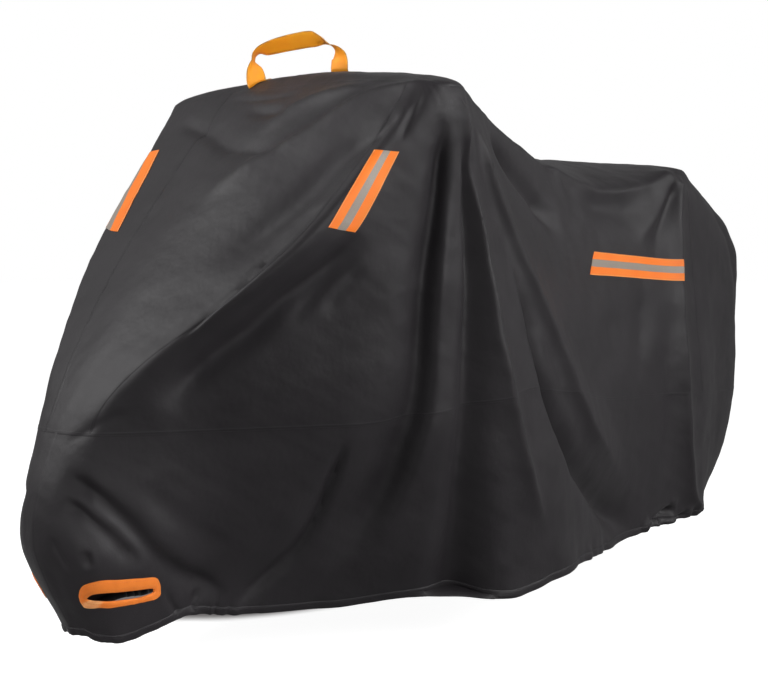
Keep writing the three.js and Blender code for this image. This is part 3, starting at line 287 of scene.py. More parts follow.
# Reflective strips by their corners, (rib, row), in turn: the first and last edges are the strip's ends.
Strip = namedtuple("Strip", "name corners")
STRIPS = [Strip(*row) for row in (
    ("reflective_strip_front_left", [(2.88, 1.55), (4.5, 1.59), (4.66, 2.08), (3.38, 2.02)]),
    ("reflective_strip_front_right", [(-2.42, 1.48), (-3.75, 1.5), (-3.2, 2.0), (-2.1, 1.97)]),
    ("reflective_strip_rear_left", [(13.03, 2.24), (13.32, 2.08), (15.5, 2.09), (15.48, 2.24)]),
    ("reflective_strip_rear_right", [(-13.0, 2.24), (-13.2, 2.06), (-15.6, 2.08), (-15.6, 2.26)]),
)]

# Stations of the carry handle. across and up are measured in the plane in which it stands, from the middle
# between its feet, and lean turns the webbing's width out of that plane.
Station = namedtuple("Station", "name across up lean")
HANDLE_STATIONS = [Station(*row) for row in (
    ("left foot", -0.121, -0.019, 20),
    ("left leg", -0.126, 0.019, 62),
    ("left pinch", -0.13, 0.042, 106),
    ("left corner", -0.122, 0.057, 94),
    ("left top", -0.1, 0.064, 64),
    ("left middle", -0.061, 0.074, 50),
    ("top", -0.014, 0.082, 43),
    ("right top", 0.023, 0.086, 42),
    ("right corner", 0.05, 0.083, 68),
    ("right pinch", 0.075, 0.069, 84),
    ("right bend", 0.089, 0.055, 52),
    ("right leg", 0.097, 0.033, 16),
    ("right foot", 0.096, 0.0, 8),
)]
# The middle between the feet, how far the loop is turned, how high over the crown it stands free, and the
# numbers of points by which its curve is first sampled and then built.
HANDLE = {"back": 0.482, "out": -0.022, "turn": 25, "clear": 0.01, "samples": 90, "stations": 200}
# How the webbing comes down to the crown behind a foot: distance behind it and height over the tab.
HANDLE_TAB = [(0.044, 0), (0.03, 0), (0.018, 0), (0.009, 0.0002), (0.004, 0.0014), (0.0012, 0.005)]
WEBBING = {"width": 0.048, "thickness": 0.0018, "lift": 0.0013}
WEBBING_SECTION = [
    (1, 0.5), (0.96, 1), (0.5, 0.9), (0, 0.85), (-0.5, 0.9), (-0.96, 1), (-1, 0.5),
    (-1, -0.5), (-0.96, -1), (-0.5, -0.9), (0, -0.85), (0.5, -0.9), (0.96, -1), (1, -0.5)]

# The strength of the white room as light, beside 1 as the camera sees it, and the area lights by place,
# target, size, power and spread.
ROOM_LIGHT = 0.23
LIGHTS = [
    ("nose_light", (-3.6, 2.2, 3.4), (-0.7, 0, 0.8), 2.2, 158, 180),
    ("low_light", (-4.6, -2.0, 0.7), (-0.9, 0, 0.2), 1.6, 9, 180),
    ("side_light", (0.3, -5.0, 2.4), (-0.2, 0, 0.5), 2.0, 105, 180),
    ("tail_light", (2.6, -3.9, 2.8), (-0.4, -0.3, 0.7), 2.0, 18, 70),
    ("handle_light", (-3.0, -2.6, 0.5), (-0.45, 0.02, 1.36), 0.3, 0.5, 14),
    ("slot_light", (-3.2, -2.4, 0.3), (-1.15, -0.15, 0.1), 0.3, 0.23, 14)]
CAMERA = {"place": (-3.3428, -3.12, 0.8648), "azimuth": 45, "pitch": 3.56, "lens": 81.42}


def unit(vectors):
    """Vectors divided by their lengths."""
    return vectors / np.maximum(np.linalg.norm(vectors, axis=-1, keepdims=True), 1e-12)


def smoothstep(x):
    """3x^2 - 2x^3, held at 0 below 0 and at 1 above 1."""
    x = np.clip(x, 0, 1)
    return x * x * (3 - 2 * x)


def knot_slope(before, after, step_before, step_after):
    """Slope at a knot: the weighted harmonic mean of the chords before and after, or 0 where they differ in
    sign, so that the curve never overshoots."""
    agree = before * after > 0
    weight_before = 2 * step_after + step_before
    weight_after = step_after + 2 * step_before
    safe_before = np.where(agree, before, 1.0)
    safe_after = np.where(agree, after, 1.0)
    mean = (weight_before + weight_after) / (weight_before / safe_before + weight_after / safe_after)
    return np.where(agree, mean, 0.0)


def cubic(share, step, start, start_slope, end, end_slope):
    """Cubic between two points with given slopes, over a step, at a share of it."""
    rise = 3 * share**2 - 2 * share**3
    bend_in = (share**3 - 2 * share**2 + share) * step
    bend_out = (share**3 - share**2) * step
    return (1 - rise) * start + bend_in * start_slope + rise * end + bend_out * end_slope


def slopes_through(knots, points, first=None):
    """Slopes of a curve through points: chords at its ends and knot slopes between."""
    steps = np.diff(knots)[:, None]
    chords = np.diff(points, axis=0) / steps
    inner = knot_slope(chords[:-1], chords[1:], steps[:-1], steps[1:])
    return np.concatenate([chords[:1] if first is None else first[None], inner, chords[-1:]])


def curve_at(knots, points, slopes, places):
    """Points of the piecewise cubic at the given places."""
    i = np.clip(np.searchsorted(knots, places, side="right") - 1, 0, len(knots) - 2)
    step = (knots[i + 1] - knots[i])[:, None]
    share = (places - knots[i])[:, None] / step
    return cubic(share, step, points[i], slopes[i], points[i + 1], slopes[i + 1])


def curve_through(points, count):
    """count points of the smooth curve through the given ones, evenly spaced by their numbers."""
    points = np.array(points, float)
    knots = np.arange(len(points), dtype=float)
    return curve_at(knots, points, slopes_through(knots, points), np.linspace(0, knots[-1], count))


def run_along(points):
    """Metres along a line to each of its points: the sum of the chords before it."""
    return np.concatenate([[0], np.cumsum(np.linalg.norm(np.diff(points, axis=0), axis=1))])


def height_at(table, back):
    """Height by straight lines through a table of (back, height)."""
    return float(np.interp(back, *zip(*table)))


def rib_points(rib):
    """The six named points of a left rib in the part's frame, and the spine's slope there."""
    near = 0.01
    spine = np.array(SPINE_HEIGHT)
    spine_slopes = slopes_through(spine[:, 0], spine[:, 1:])
    backs = rib.spine + np.array([-near, 0, near])
    before, top, after = curve_at(spine[:, 0], spine[:, 1:], spine_slopes, backs)
    waist = np.array([*rib.waist, height_at(WAIST_HEIGHT, rib.waist[0])])
    hem = np.array(rib.hem)
    knee = waist + (hem - waist) * [KNEE["along"], KNEE["along"], KNEE["drop"]]
    middle = [np.clip(waist[0], KNEE["from"], KNEE["to"]), 0]
    knee[:2] += rib.bulge * unit(waist[:2] - middle)
    upper = [*rib.upper, height_at(UPPER_HEIGHT, rib.upper[0])]
    points = np.array([[rib.spine, 0, top[0]], rib.shoulder, upper, waist, knee, hem])
    points = (points - [ORIGIN_BACK, 0, ORIGIN_HIGH]) * [1, -1, 1]
    return points, (after[0] - before[0]) / (2 * near)


def make_ribs():
    """All ribs round the cover as arrays of points, knots and slopes. The knots follow the chords' lengths,
    evened out, and each curve leaves the spine so that the crown is smooth across it."""
    evening = 0.6
    left, spine_slopes = zip(*[rib_points(rib) for rib in RIBS])
    right = [points * [1, -1, 1] for points in left[-2:0:-1]]
    points = np.array([*left, *right])
    lean = np.array([*spine_slopes, *spine_slopes[-2:0:-1]])
    chords = np.linalg.norm(np.diff(points, axis=1), axis=2) ** evening
    knots = np.concatenate([np.zeros((len(points), 1)), np.cumsum(chords, axis=1)], axis=1)
    starts = (points[:, 1] - points[:, 0]) / chords[:, :1]
    starts[:, 2] = starts[:, 0] * lean
    slopes = np.array([slopes_through(t, p, first) for t, p, first in zip(knots, points, starts)])
    return points, knots, slopes


RIB_POINTS, RIB_KNOTS, RIB_SLOPES = make_ribs()

# How far it is round the cover from each rib to the next: mostly by the waist, less by hem and shoulder.
RIB_STEPS = sum(
    share * np.linalg.norm(np.roll(RIB_POINTS[:, row], -1, axis=0) - RIB_POINTS[:, row], axis=1)
    for row, share in ((3, 0.5), (5, 0.3), (1, 0.2)))
RIB_PLACES = np.concatenate([[0], np.cumsum(RIB_STEPS)])
ROUND = RIB_PLACES[-1]


def place_of(rib):
    """Metres round the cover from the nose to a rib number."""
    turns = np.floor_divide(rib, RIB_COUNT)
    return turns * ROUND + np.interp(rib - turns * RIB_COUNT, np.arange(RIB_COUNT + 1), RIB_PLACES)


def rib_of(place):
    """Rib number that lies so many metres round the cover from the nose."""
    turns = np.floor_divide(place, ROUND)
    return turns * RIB_COUNT + np.interp(place - turns * ROUND, RIB_PLACES, np.arange(RIB_COUNT + 1))


def row_place(row):
    """Metres down the cloth from the spine to a row number."""
    return np.interp(row, np.arange(HEM + 1), np.concatenate([[0], np.cumsum(RIB_LENGTHS)]))


def ribs_from_nose(rib):
    """Rib numbers counted from the nose, above 0 on the left side and below 0 on the right."""
    return np.mod(rib + LAST_RIB, RIB_COUNT) - LAST_RIB


def marks_of(rib, row):
    """Rib and row numbers as two arrays of one shape."""
    return np.broadcast_arrays(np.asarray(rib, float), np.asarray(row, float))


def on_rib(rib, row):
    """Points of whole-numbered ribs at the given rows."""
    rib = np.mod(rib, RIB_COUNT)
    j = np.clip(row.astype(int), 0, HEM - 1)
    step = (RIB_KNOTS[rib, j + 1] - RIB_KNOTS[rib, j])[..., None]
    start, end = [(RIB_POINTS[rib, k], RIB_SLOPES[rib, k]) for k in (j, j + 1)]
    return cubic((row - j)[..., None], step, *start, *end)


def smooth_point(rib, row):
    """Points of the cloth without folds: the cubic round the cover through the ribs' points at that row."""
    rib, row = marks_of(rib, np.clip(row, 0, HEM))
    i = np.floor(rib).astype(int)
    points = [on_rib(i + k, row) for k in (-1, 0, 1, 2)]
    steps = [RIB_STEPS[np.mod(i + k, RIB_COUNT)][..., None] for k in (-1, 0, 1)]
    chords = [(points[k + 1] - points[k]) / steps[k] for k in range(3)]
    start = knot_slope(chords[0], chords[1], steps[0], steps[1])
    end = knot_slope(chords[1], chords[2], steps[1], steps[2])
    return cubic((rib - i)[..., None], steps[1], points[1], start, points[2], end)


def steps_of(surface, rib, row):
    """Steps of a surface of (rib, row) for one rib round and for one row down."""
    near = 0.02
    above, below = np.clip(row - near, 0, HEM), np.clip(row + near, 0, HEM)
    around = (surface(rib + near, row) - surface(rib - near, row)) / (2 * near)
    down = (surface(rib, below) - surface(rib, above)) / (below - above)[..., None]
    return around, down


FOLD_LINES = {}


def fold_line(fold):
    """Points along a fold's path on the smooth cloth."""
    count = 28
    if fold.name not in FOLD_LINES:
        FOLD_LINES[fold.name] = smooth_point(*curve_through(fold.path, count).T)
    return FOLD_LINES[fold.name]


def fold_lift(fold, points, normals):
    """Height of one fold at points of the smooth cloth. It falls off as exp(-distance / reach) from the
    fold's line, over a width that grows along it. The line is rounded where it isn't crisp, and the fold's
    ends fade."""
    blunt, least_soft, least_reach = 1.2, 0.0015, 0.35
    line = fold_line(fold)
    run = run_along(line)
    segments = np.diff(line, axis=0)
    lengths = np.linalg.norm(segments, axis=1)
    from_starts = points[:, None] - line[None, :-1]
    shares = np.clip(np.einsum("nks,ks->nk", from_starts, segments) / lengths**2, 0, 1)
    offs = from_starts - shares[..., None] * segments
    squares = np.einsum("nks,nks->nk", offs, offs)
    nearest = np.argmin(squares, axis=1)
    every = np.arange(len(points))
    gap = np.sqrt(squares[every, nearest])
    turn = np.einsum("ns,ns->n", np.cross(segments[nearest], offs[every, nearest]), normals)
    t = (run[nearest] + shares[every, nearest] * lengths[nearest]) / run[-1]
    grow = fold.narrow + (1 - fold.narrow) * t
    wide = np.where(turn > 0, fold.right, fold.left) * grow
    soft = (1 - fold.crisp) * blunt * wide + least_soft
    reach = wide * (least_reach + (1 - least_reach) * fold.crisp)
    fall = np.exp(-(np.hypot(gap, soft) - soft) / reach)
    fade = smoothstep(t / fold.fade_in) * smoothstep((1 - t) / fold.fade_out)
    return fold.height * fade * fall * (1 + grow) / 2


def gather_lift(rib, row):
    """Waves of the gathered hem: two sines of the way round whose phases drift in slower sines, deeper
    towards the hem and fading out over the last ribs of each stretch."""
    fading, deepening = 0.8, 1.3
    lift = np.zeros(rib.shape)
    for gather in GATHERS:
        counted = np.mod(rib, RIB_COUNT) if gather.end > LAST_RIB else ribs_from_nose(rib)
        inside = smoothstep((counted - gather.start) / fading) * smoothstep((gather.end - counted) / fading)
        deep = smoothstep((row - gather.row) / (HEM - gather.row)) ** deepening
        phase = 2 * math.pi * place_of(rib) / gather.wave
        long_waves = np.sin(phase + 1.7 * np.sin(phase / 4.3))
        short_waves = np.sin(1.83 * phase + 2.1 * np.sin(phase / 2.9))
        lift += gather.depth * inside * deep * (long_waves + 0.5 * short_waves)
    return lift


def rumple_lift(points):
    """Slight unevenness of hanging cloth: sines in fixed directions, three for each length, whose phases
    drift in sines that are 2.3 times as long."""
    random = np.random.default_rng(7)
    lift = np.zeros(len(points))
    for wave, depth in RUMPLES:
        for _ in range(3):
            direction = unit(random.normal(size=3))
            bend = unit(random.normal(size=3))
            drift = np.sin(2 * math.pi * points @ bend / (2.3 * wave))
            phase = 2 * math.pi * points @ direction / wave + drift + random.uniform(0, 6.28)
            lift += depth / 1.7 * np.sin(phase)
    return lift


def cloth_point(rib, row):
    """Points of the cloth's outer face: the smooth cloth raised along its normals by the folds, creases,
    gathers and unevenness. A fold counts only near its own box."""
    rib, row = marks_of(rib, np.clip(row, 0, HEM))
    shape = rib.shape
    rib, row = rib.ravel(), row.ravel()
    points = smooth_point(rib, row)
    around, down = steps_of(smooth_point, rib, row)
    normals = unit(np.cross(down, around))
    lift = gather_lift(rib, row) + rumple_lift(points)
    for fold in FOLDS + CREASES:
        line = fold_line(fold)
        reach = 4 * max(fold.left, fold.right) + 0.02
        close = np.all((points > line.min(0) - reach) & (points < line.max(0) + reach), axis=1)
        if close.any():
            lift[close] += fold_lift(fold, points[close], normals[close])
    return (points + normals * lift[:, None]).reshape(*shape, 3)


def frames_on(rib, row, height):
    """Points at a height over the cloth's outer face, with unit vectors down it and out of it."""
    rib, row = marks_of(rib, row)
    around, down = steps_of(cloth_point, rib, row)
    normals = unit(np.cross(down, around))
    points = cloth_point(rib, row) + normals * np.broadcast_to(height, rib.shape)[..., None]
    return points, unit(down), normals


def grid_faces(count, rows, close_round=False, close_across=False):
    """Quads of a grid of count by rows points, joined up at its ends where it is closed."""
    i = np.arange(count if close_round else count - 1)[:, None]
    j = np.arange(rows if close_across else rows - 1)[None, :]
    after_i, after_j = (i + 1) % count, (j + 1) % rows
    corners = [i * rows + j, i * rows + after_j, after_i * rows + after_j, after_i * rows + j]
    return np.stack(np.broadcast_arrays(*corners), axis=-1).reshape(-1, 4)


def uv_grid(across, along):
    """UV of a grid whose points count first along it and then across it."""
    return np.stack(np.broadcast_arrays(across[None, :], along[:, None]), axis=-1)


def quad_normals(corners):
    """Normals of quads, as long as twice their areas: the cross products of their diagonals."""
    return np.cross(corners[:, 2] - corners[:, 0], corners[:, 3] - corners[:, 1])


def make_object(name, points, faces, uv=None):
    """A smooth-shaded mesh object from whole arrays of points and quads, with a UV for each point."""
    sharp = 50
    mesh = bpy.data.meshes.new(name)
    mesh.from_pydata(points.reshape(-1, 3).tolist(), [], faces.tolist())
    if uv is not None:
        layer = mesh.uv_layers.new(name="cloth")
        loop_points = np.empty(len(mesh.loops), np.int32)
        mesh.loops.foreach_get("vertex_index", loop_points)
        layer.data.foreach_set("uv", uv.reshape(-1, 2)[loop_points].astype(np.float32).ravel())
    mesh.shade_smooth()
    mesh.set_sharp_from_angle(angle=math.radians(sharp))
    piece = bpy.data.objects.new(name, mesh)
    bpy.context.scene.collection.objects.link(piece)
    return piece


def make_sheet(name, points, faces, uv, thickness):
    """An object of a sheet with an inner face and an edge: the inner face lies a thickness inside along the
    points' normals, and each boundary edge of the outer face gets a quad to it."""
    used, faces = np.unique(faces, return_inverse=True)
    faces = faces.reshape(-1, 4)
    points, uv = points.reshape(-1, 3)[used], uv.reshape(-1, 2)[used]
    count = len(points)
    starts, ends = faces.ravel(), np.roll(faces, -1, axis=1).ravel()
    boundary = ~np.isin(starts * count + ends, ends * count + starts)
    a, b = starts[boundary], ends[boundary]
    rim = np.stack([b, a, a + count, b + count], axis=1)
    face_normals = quad_normals(points[faces])
    normals = np.zeros_like(points)
    for corner in range(4):
        np.add.at(normals, faces[:, corner], face_normals)
    inner = points - unit(normals) * thickness
    faces = np.concatenate([faces, faces[:, ::-1] + count, rim])
    return make_object(name, np.concatenate([points, inner]), faces, np.concatenate([uv, uv]))


def finish_piece(piece, material, nodes=()):
    """Gives a piece its material, lets it ride on the root body and hides the nodes that it replaces."""
    piece.data.materials.append(material)
    if nodes:
        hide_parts(*nodes)
    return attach(piece, "root")


def stops_between(start, end, place, spacing):
    """Numbers from start to end, about spacing metres apart, where place gives a number's metres."""
    count = max(2, int(round(abs(place(end) - place(start)) / spacing)))
    return np.linspace(start, end, count + 1)


def panel_grid(panel):
    """The rib numbers and row numbers of a panel's grid, with a line of it at each edge of a lock band."""
    ribs = [panel.ribs[0], panel.ribs[1]]
    rows = list(range(panel.rows[0], panel.rows[1] + 1))
    if panel.name == "skirt_left":
        ribs.insert(1, LOCK_BAND["rib"])
    if panel.name == "skirt_right":
        ribs.insert(1, RIB_COUNT - LOCK_BAND["rib"])
    if HEM in rows:
        rows.insert(-1, LOCK_BAND["row"])
    columns = [ribs[0]]
    for start, end in zip(ribs, ribs[1:]):
        places = stops_between(place_of(start), place_of(end), lambda place: place, panel.spacing)
        columns += list(rib_of(places[1:-1])) + [end]
    levels = [rows[0]]
    for start, end in zip(rows, rows[1:]):
        levels += list(stops_between(start, end, row_place, panel.spacing))[1:]
    return np.array(columns, float), np.array(levels, float)


def make_panel(panel):
    """A panel's sheet: the cloth over a grid of ribs and rows, without the lock band. The crown's two sides
    share the spine. Its UV is in metres, (round, down) or on the crown (back, across)."""
    columns, levels = panel_grid(panel)
    whole = panel.name == "crown"
    if whole:
        half = columns[columns <= LAST_RIB]
        columns = np.concatenate([half, RIB_COUNT - half[-2:0:-1]])
    rib, row = np.meshgrid(columns, levels, indexing="ij")
    points = cloth_point(rib, row)
    faces = grid_faces(len(columns), len(levels), close_round=whole)
    if whole:
        uv = points[..., :2]
        mirrored = np.minimum(np.arange(len(columns)), -np.arange(len(columns)) % len(columns))
        shared = np.arange(rib.size).reshape(rib.shape)
        shared[:, 0] = shared[mirrored, 0]
        faces = shared.ravel()[faces]
    else:
        uv = np.stack([place_of(rib), row_place(row)], axis=-1)
        middle_rib, middle_row = [((grid[1:, 1:] + grid[:-1, :-1]) / 2).ravel() for grid in (rib, row)]
        in_band = (np.abs(ribs_from_nose(middle_rib)) < LOCK_BAND["rib"]) & (middle_row > LOCK_BAND["row"])
        faces = faces[~in_band]
    return make_sheet(panel.name + "_cloth", points, faces, uv, CLOTH_THICKNESS)


def slot_marks(side, places, share):
    """Marks of a ring round a slot at places from 0 to 1 round it. A share of 0 is the slot's edge and 1 the
    binding's. The edges are smooth closed curves through their marks."""
    rings = []
    for edge in (SLOT_EDGE, BINDING_EDGE):
        marks = np.array(edge)
        slopes = (np.roll(marks, -1, axis=0) - np.roll(marks, 1, axis=0)) / 2
        closed = [np.vstack([values, values[:1]]) for values in (marks, slopes)]
        rings.append(curve_at(np.arange(len(marks) + 1.0), *closed, np.mod(places, 1) * len(marks)))
    ring = rings[0] * (1 - share) + rings[1] * share
    return side * ring[:, 0], ring[:, 1]


def band_edge(side):
    """Marks round a lock band's edge, where the skirt's own lie, as (ribs from the nose, row)."""
    touching = 1e-6
    skirt = [panel for panel in PANELS if panel.name == ("skirt_left" if side > 0 else "skirt_right")][0]
    columns, levels = panel_grid(skirt)
    away = np.sort(np.abs(ribs_from_nose(columns)))
    away = away[away < LOCK_BAND["rib"] + touching]
    levels = levels[levels > LOCK_BAND["row"] - touching]
    outer = [(away[-1], row) for row in levels[:0:-1]]
    top = [(rib, levels[0]) for rib in away[:0:-1]]
    inner = [(away[0], row) for row in levels[:-1]]
    bottom = [(rib, levels[-1]) for rib in away[:-1]]
    return np.array(outer + top + inner + bottom)


def angle_round_slot(rib, row):
    """Angle of marks about the middle of a slot, from 0 to 2 pi, with the slot's flat shape made round."""
    tallness = 9
    angle = np.arctan2((SLOT_MIDDLE[1] - row) * tallness, rib - SLOT_MIDDLE[0])
    return np.mod(angle, 2 * math.pi)


def make_lock_band(side, name):
    """The band of cloth round a slot: rings of marks that pass from the slot's edge to the band's own edge,
    closer together near the slot. They start a little inside the binding."""
    ring_count, samples, crowding, inset = 34, 720, 1.15, 0.06
    edge = band_edge(side)
    slot = slot_marks(1, np.arange(samples) / samples, inset)
    angles = angle_round_slot(*slot)
    order = np.argsort(angles)
    wanted = angle_round_slot(*edge.T)
    slot_rib, slot_row = [
        np.interp(wanted, angles[order], marks[order], period=2 * math.pi) for marks in slot]
    part = np.linspace(0, 1, ring_count)[:, None] ** crowding
    rib = side * (slot_rib * (1 - part) + edge[:, 0] * part)
    row = slot_row * (1 - part) + edge[:, 1] * part
    faces = grid_faces(ring_count, len(edge), close_across=True)
    if side > 0:
        faces = faces[:, ::-1]
    uv = np.stack([place_of(rib), row_place(row)], axis=-1)
    return make_sheet(name + "_cloth", cloth_point(rib, row), faces, uv, CLOTH_THICKNESS)


def bar(points, closed=False):
    """Points and quads of a bar: stations by the points of its section. Its section has an even number of
    points, so that quads close its ends. Faces whose summed volume is negative are all turned round."""
    count, around = points.shape[:2]
    faces = grid_faces(count, around, close_round=closed, close_across=True)
    if not closed:
        half = np.arange(around // 2 - 1)
        first = np.stack([half, half + 1, around - 2 - half, around - 1 - half], axis=1)
        faces = np.concatenate([faces, first[:, ::-1], first + (count - 1) * around])
    points = points.reshape(-1, 3)
    corners = points[faces] - points.mean(axis=0)
    volume = np.sum(corners.mean(axis=1) * quad_normals(corners))
    return points, faces if volume > 0 else faces[:, ::-1]


def joined(parts):
    """Parts, each of points and faces, as one array of points and one of faces."""
    counts = np.cumsum([0] + [len(points) for points, _ in parts])
    faces = [faces + before for (_, faces), before in zip(parts, counts)]
    return np.concatenate([points for points, _ in parts]), np.concatenate(faces)


def marks_along(start, end, spacing):
    """Marks from one to the other, evenly spaced in metres along the smooth cloth."""
    samples = 1500
    share = np.linspace(0, 1, samples)[:, None]
    marks = np.array(start, float) * (1 - share) + np.array(end, float) * share
    run = run_along(smooth_point(*marks.T))
    stops = np.linspace(0, run[-1], max(2, round(run[-1] / spacing) + 1))
    return np.stack([np.interp(stops, run, marks[:, axis]) for axis in (0, 1)], axis=1)


def stitch_parts(rib, row, height):
    """Stitches from mark to mark of a line, at a height over the cloth: each is a low roof that dips at its
    ends."""
    points, _, normals = frames_on(rib, row, height)
    middle = (points[1:] + points[:-1]) / 2
    along = unit(points[1:] - points[:-1])
    out = unit(normals[1:] + normals[:-1])
    across = np.cross(out, along)
    long, wide, tall, deep = STITCH["length"] / 2, STITCH["width"] / 2, STITCH["height"], STITCH["depth"]
    section = [(-long, wide, -deep), (-long, 0, -deep), (-long, -wide, -deep),
               (long, -wide, -deep), (long, 0, -deep), (long, wide, -deep),
               (-long * 0.6, 0, tall), (long * 0.6, 0, tall)]
    corners = [middle + along * a + across * b + out * c for a, b, c in section]
    quads = np.array([(0, 5, 7, 6), (3, 2, 6, 7), (2, 1, 0, 6), (5, 4, 3, 7)])
    faces = quads[None] + len(section) * np.arange(len(middle))[:, None, None]
    return np.stack(corners, axis=1).reshape(-1, 3), faces.reshape(-1, 4)


def seam_marks(seam, spacing, offsets):
    """Marks along a seam by offsets in metres to its side: down from a row, or round from a rib."""
    marks = marks_along(seam.start, seam.end, spacing)
    around, down = steps_of(smooth_point, *marks.T)
    rib, row = marks[:, :1] + 0 * offsets, marks[:, 1:] + 0 * offsets
    if seam.start[1] == seam.end[1]:
        return rib, row + offsets / np.linalg.norm(down, axis=1)[:, None]
    return rib + offsets / np.linalg.norm(around, axis=1)[:, None], row


def seam_parts(seam):
    """A seam's lap, a low bar that is stepped on one side, and its rows of stitches."""
    half = LAP["width"] / 2
    section = [(-half, -0.0008), (-half, 0.0002), (-0.4 * half, 0.0004), (0.6 * half, 0.0004),
               (half, 0), (half, -0.001)]
    offsets, heights = np.array(section).T
    points, _, _ = frames_on(*seam_marks(seam, LAP["spacing"], offsets), heights)
    ring = seam.end[0] - seam.start[0] == RIB_COUNT
    lap = bar(points[:-1] if ring else points, closed=ring)
    rib, row = seam_marks(seam, STITCH["pitch"], np.array(LAP["stitches"]))
    return lap, [stitch_parts(rib[:, line], row[:, line], LAP["height"]) for line in range(seam.rows)]


def hem_parts():
    """The hem's casing, a flat tube round the cloth's lower edge, and its row of stitches. The point of its
    section that lies under the edge is reached straight on down from it."""
    hem = Seam("hem", (0, HEM), (RIB_COUNT, HEM), 1)
    wide = HEM_CASING["width"]
    section = [(wide, -0.0006), (0.94 * wide, 0.0009), (0.66 * wide, 0.0019), (0.3 * wide, 0.0021),
               (0, 0.0012), (-0.0022, -0.001), (0, -0.0034),
               (0.3 * wide, -0.0042), (0.66 * wide, -0.0038), (0.94 * wide, -0.0026)]
    up, height = np.array(section).T
    rib, row = seam_marks(hem, HEM_CASING["spacing"], -np.maximum(up, 0))
    points, downward, _ = frames_on(rib[:-1], row[:-1], height)
    casing = bar(points + downward * np.maximum(-up, 0)[:, None], closed=True)
    rib, row = seam_marks(hem, STITCH["pitch"], np.array([-HEM_CASING["stitch"]]))
    return casing, stitch_parts(rib[:, 0], row[:, 0], HEM_CASING["height"])


def make_strip(strip):
    """A reflective strip and its rows of stitches: a thin slab over the patch between its corners. Its UV is
    (share across, metres along)."""
    corners = np.array(strip.corners, float)
    ends = smooth_point(*corners.T)
    length = np.linalg.norm(ends[3] - ends[0])
    uv = uv_grid(np.linspace(0, 1, TAPE["columns"]), np.linspace(0, 1, round(length / TAPE["spacing"])))
    across, along = uv[..., :1], uv[..., 1:]
    marks = ((corners[0] * (1 - across) + corners[1] * across) * (1 - along)
             + (corners[3] * (1 - across) + corners[2] * across) * along)
    points, _, normals = frames_on(marks[..., 0], marks[..., 1], TAPE["lift"])
    faces = grid_faces(*marks.shape[:2])
    outward = normals.reshape(-1, 3)[faces[:, 0]]
    if np.sum(quad_normals(points.reshape(-1, 3)[faces]) * outward) < 0:
        faces = faces[:, ::-1]
    piece = make_sheet(strip.name + "_tape", points, faces, uv * [1, length], TAPE["thickness"])
    stitches = []
    edges = corners[[0, 3]], corners[[1, 2]]
    for edge, other in (edges, edges[::-1]):
        start, end = edge * (1 - TAPE["inset"]) + other * TAPE["inset"]
        stitches.append(stitch_parts(*marks_along(start, end, STITCH["pitch"]).T, TAPE["lift"]))
    return piece, stitches


def make_binding(side, name):
    """Tape folded round a slot's edge, and its rows of stitches: a ring whose section hooks from the outer
    face round to the inner one, and puckers in small waves. Its UV is (share across, share round)."""
    around, finer = 160, 400
    places = np.linspace(0, 1, around, endpoint=False)
    puckers = BINDING["pucker"] * np.sin(38 * math.pi * places + 2 * np.sin(6 * math.pi * places))
    lines = []
    for share, height in BINDING_SECTION:
        rib, row = slot_marks(side, places, share)
        lines.append(frames_on(rib, row, height + puckers * max(share, 0) * (height > 0))[0])
    across = np.array([max(share, 0) for share, _ in BINDING_SECTION])
    ring = bar(np.stack(lines, axis=1), closed=True)
    piece = make_object(name + "_tape", *ring, uv_grid(across, places))
    stitches = []
    places = np.linspace(0, 1, finer)
    for share in (0.8, 0.3):
        run = run_along(smooth_point(*slot_marks(side, places, share)))
        stops = np.interp(np.arange(0, run[-1], STITCH["pitch"]), run, places)
        stitches.append(stitch_parts(*slot_marks(side, stops, share), BINDING["lift"]))
    return piece, stitches


def turned(vectors, axes, angles):
    """Vectors turned about unit axes by angles in degrees."""
    angles = np.radians(angles)[:, None]
    along = np.einsum("ij,ij->i", vectors, axes)[:, None] * axes
    return vectors * np.cos(angles) + np.cross(axes, vectors) * np.sin(angles) + along * (1 - np.cos(angles))


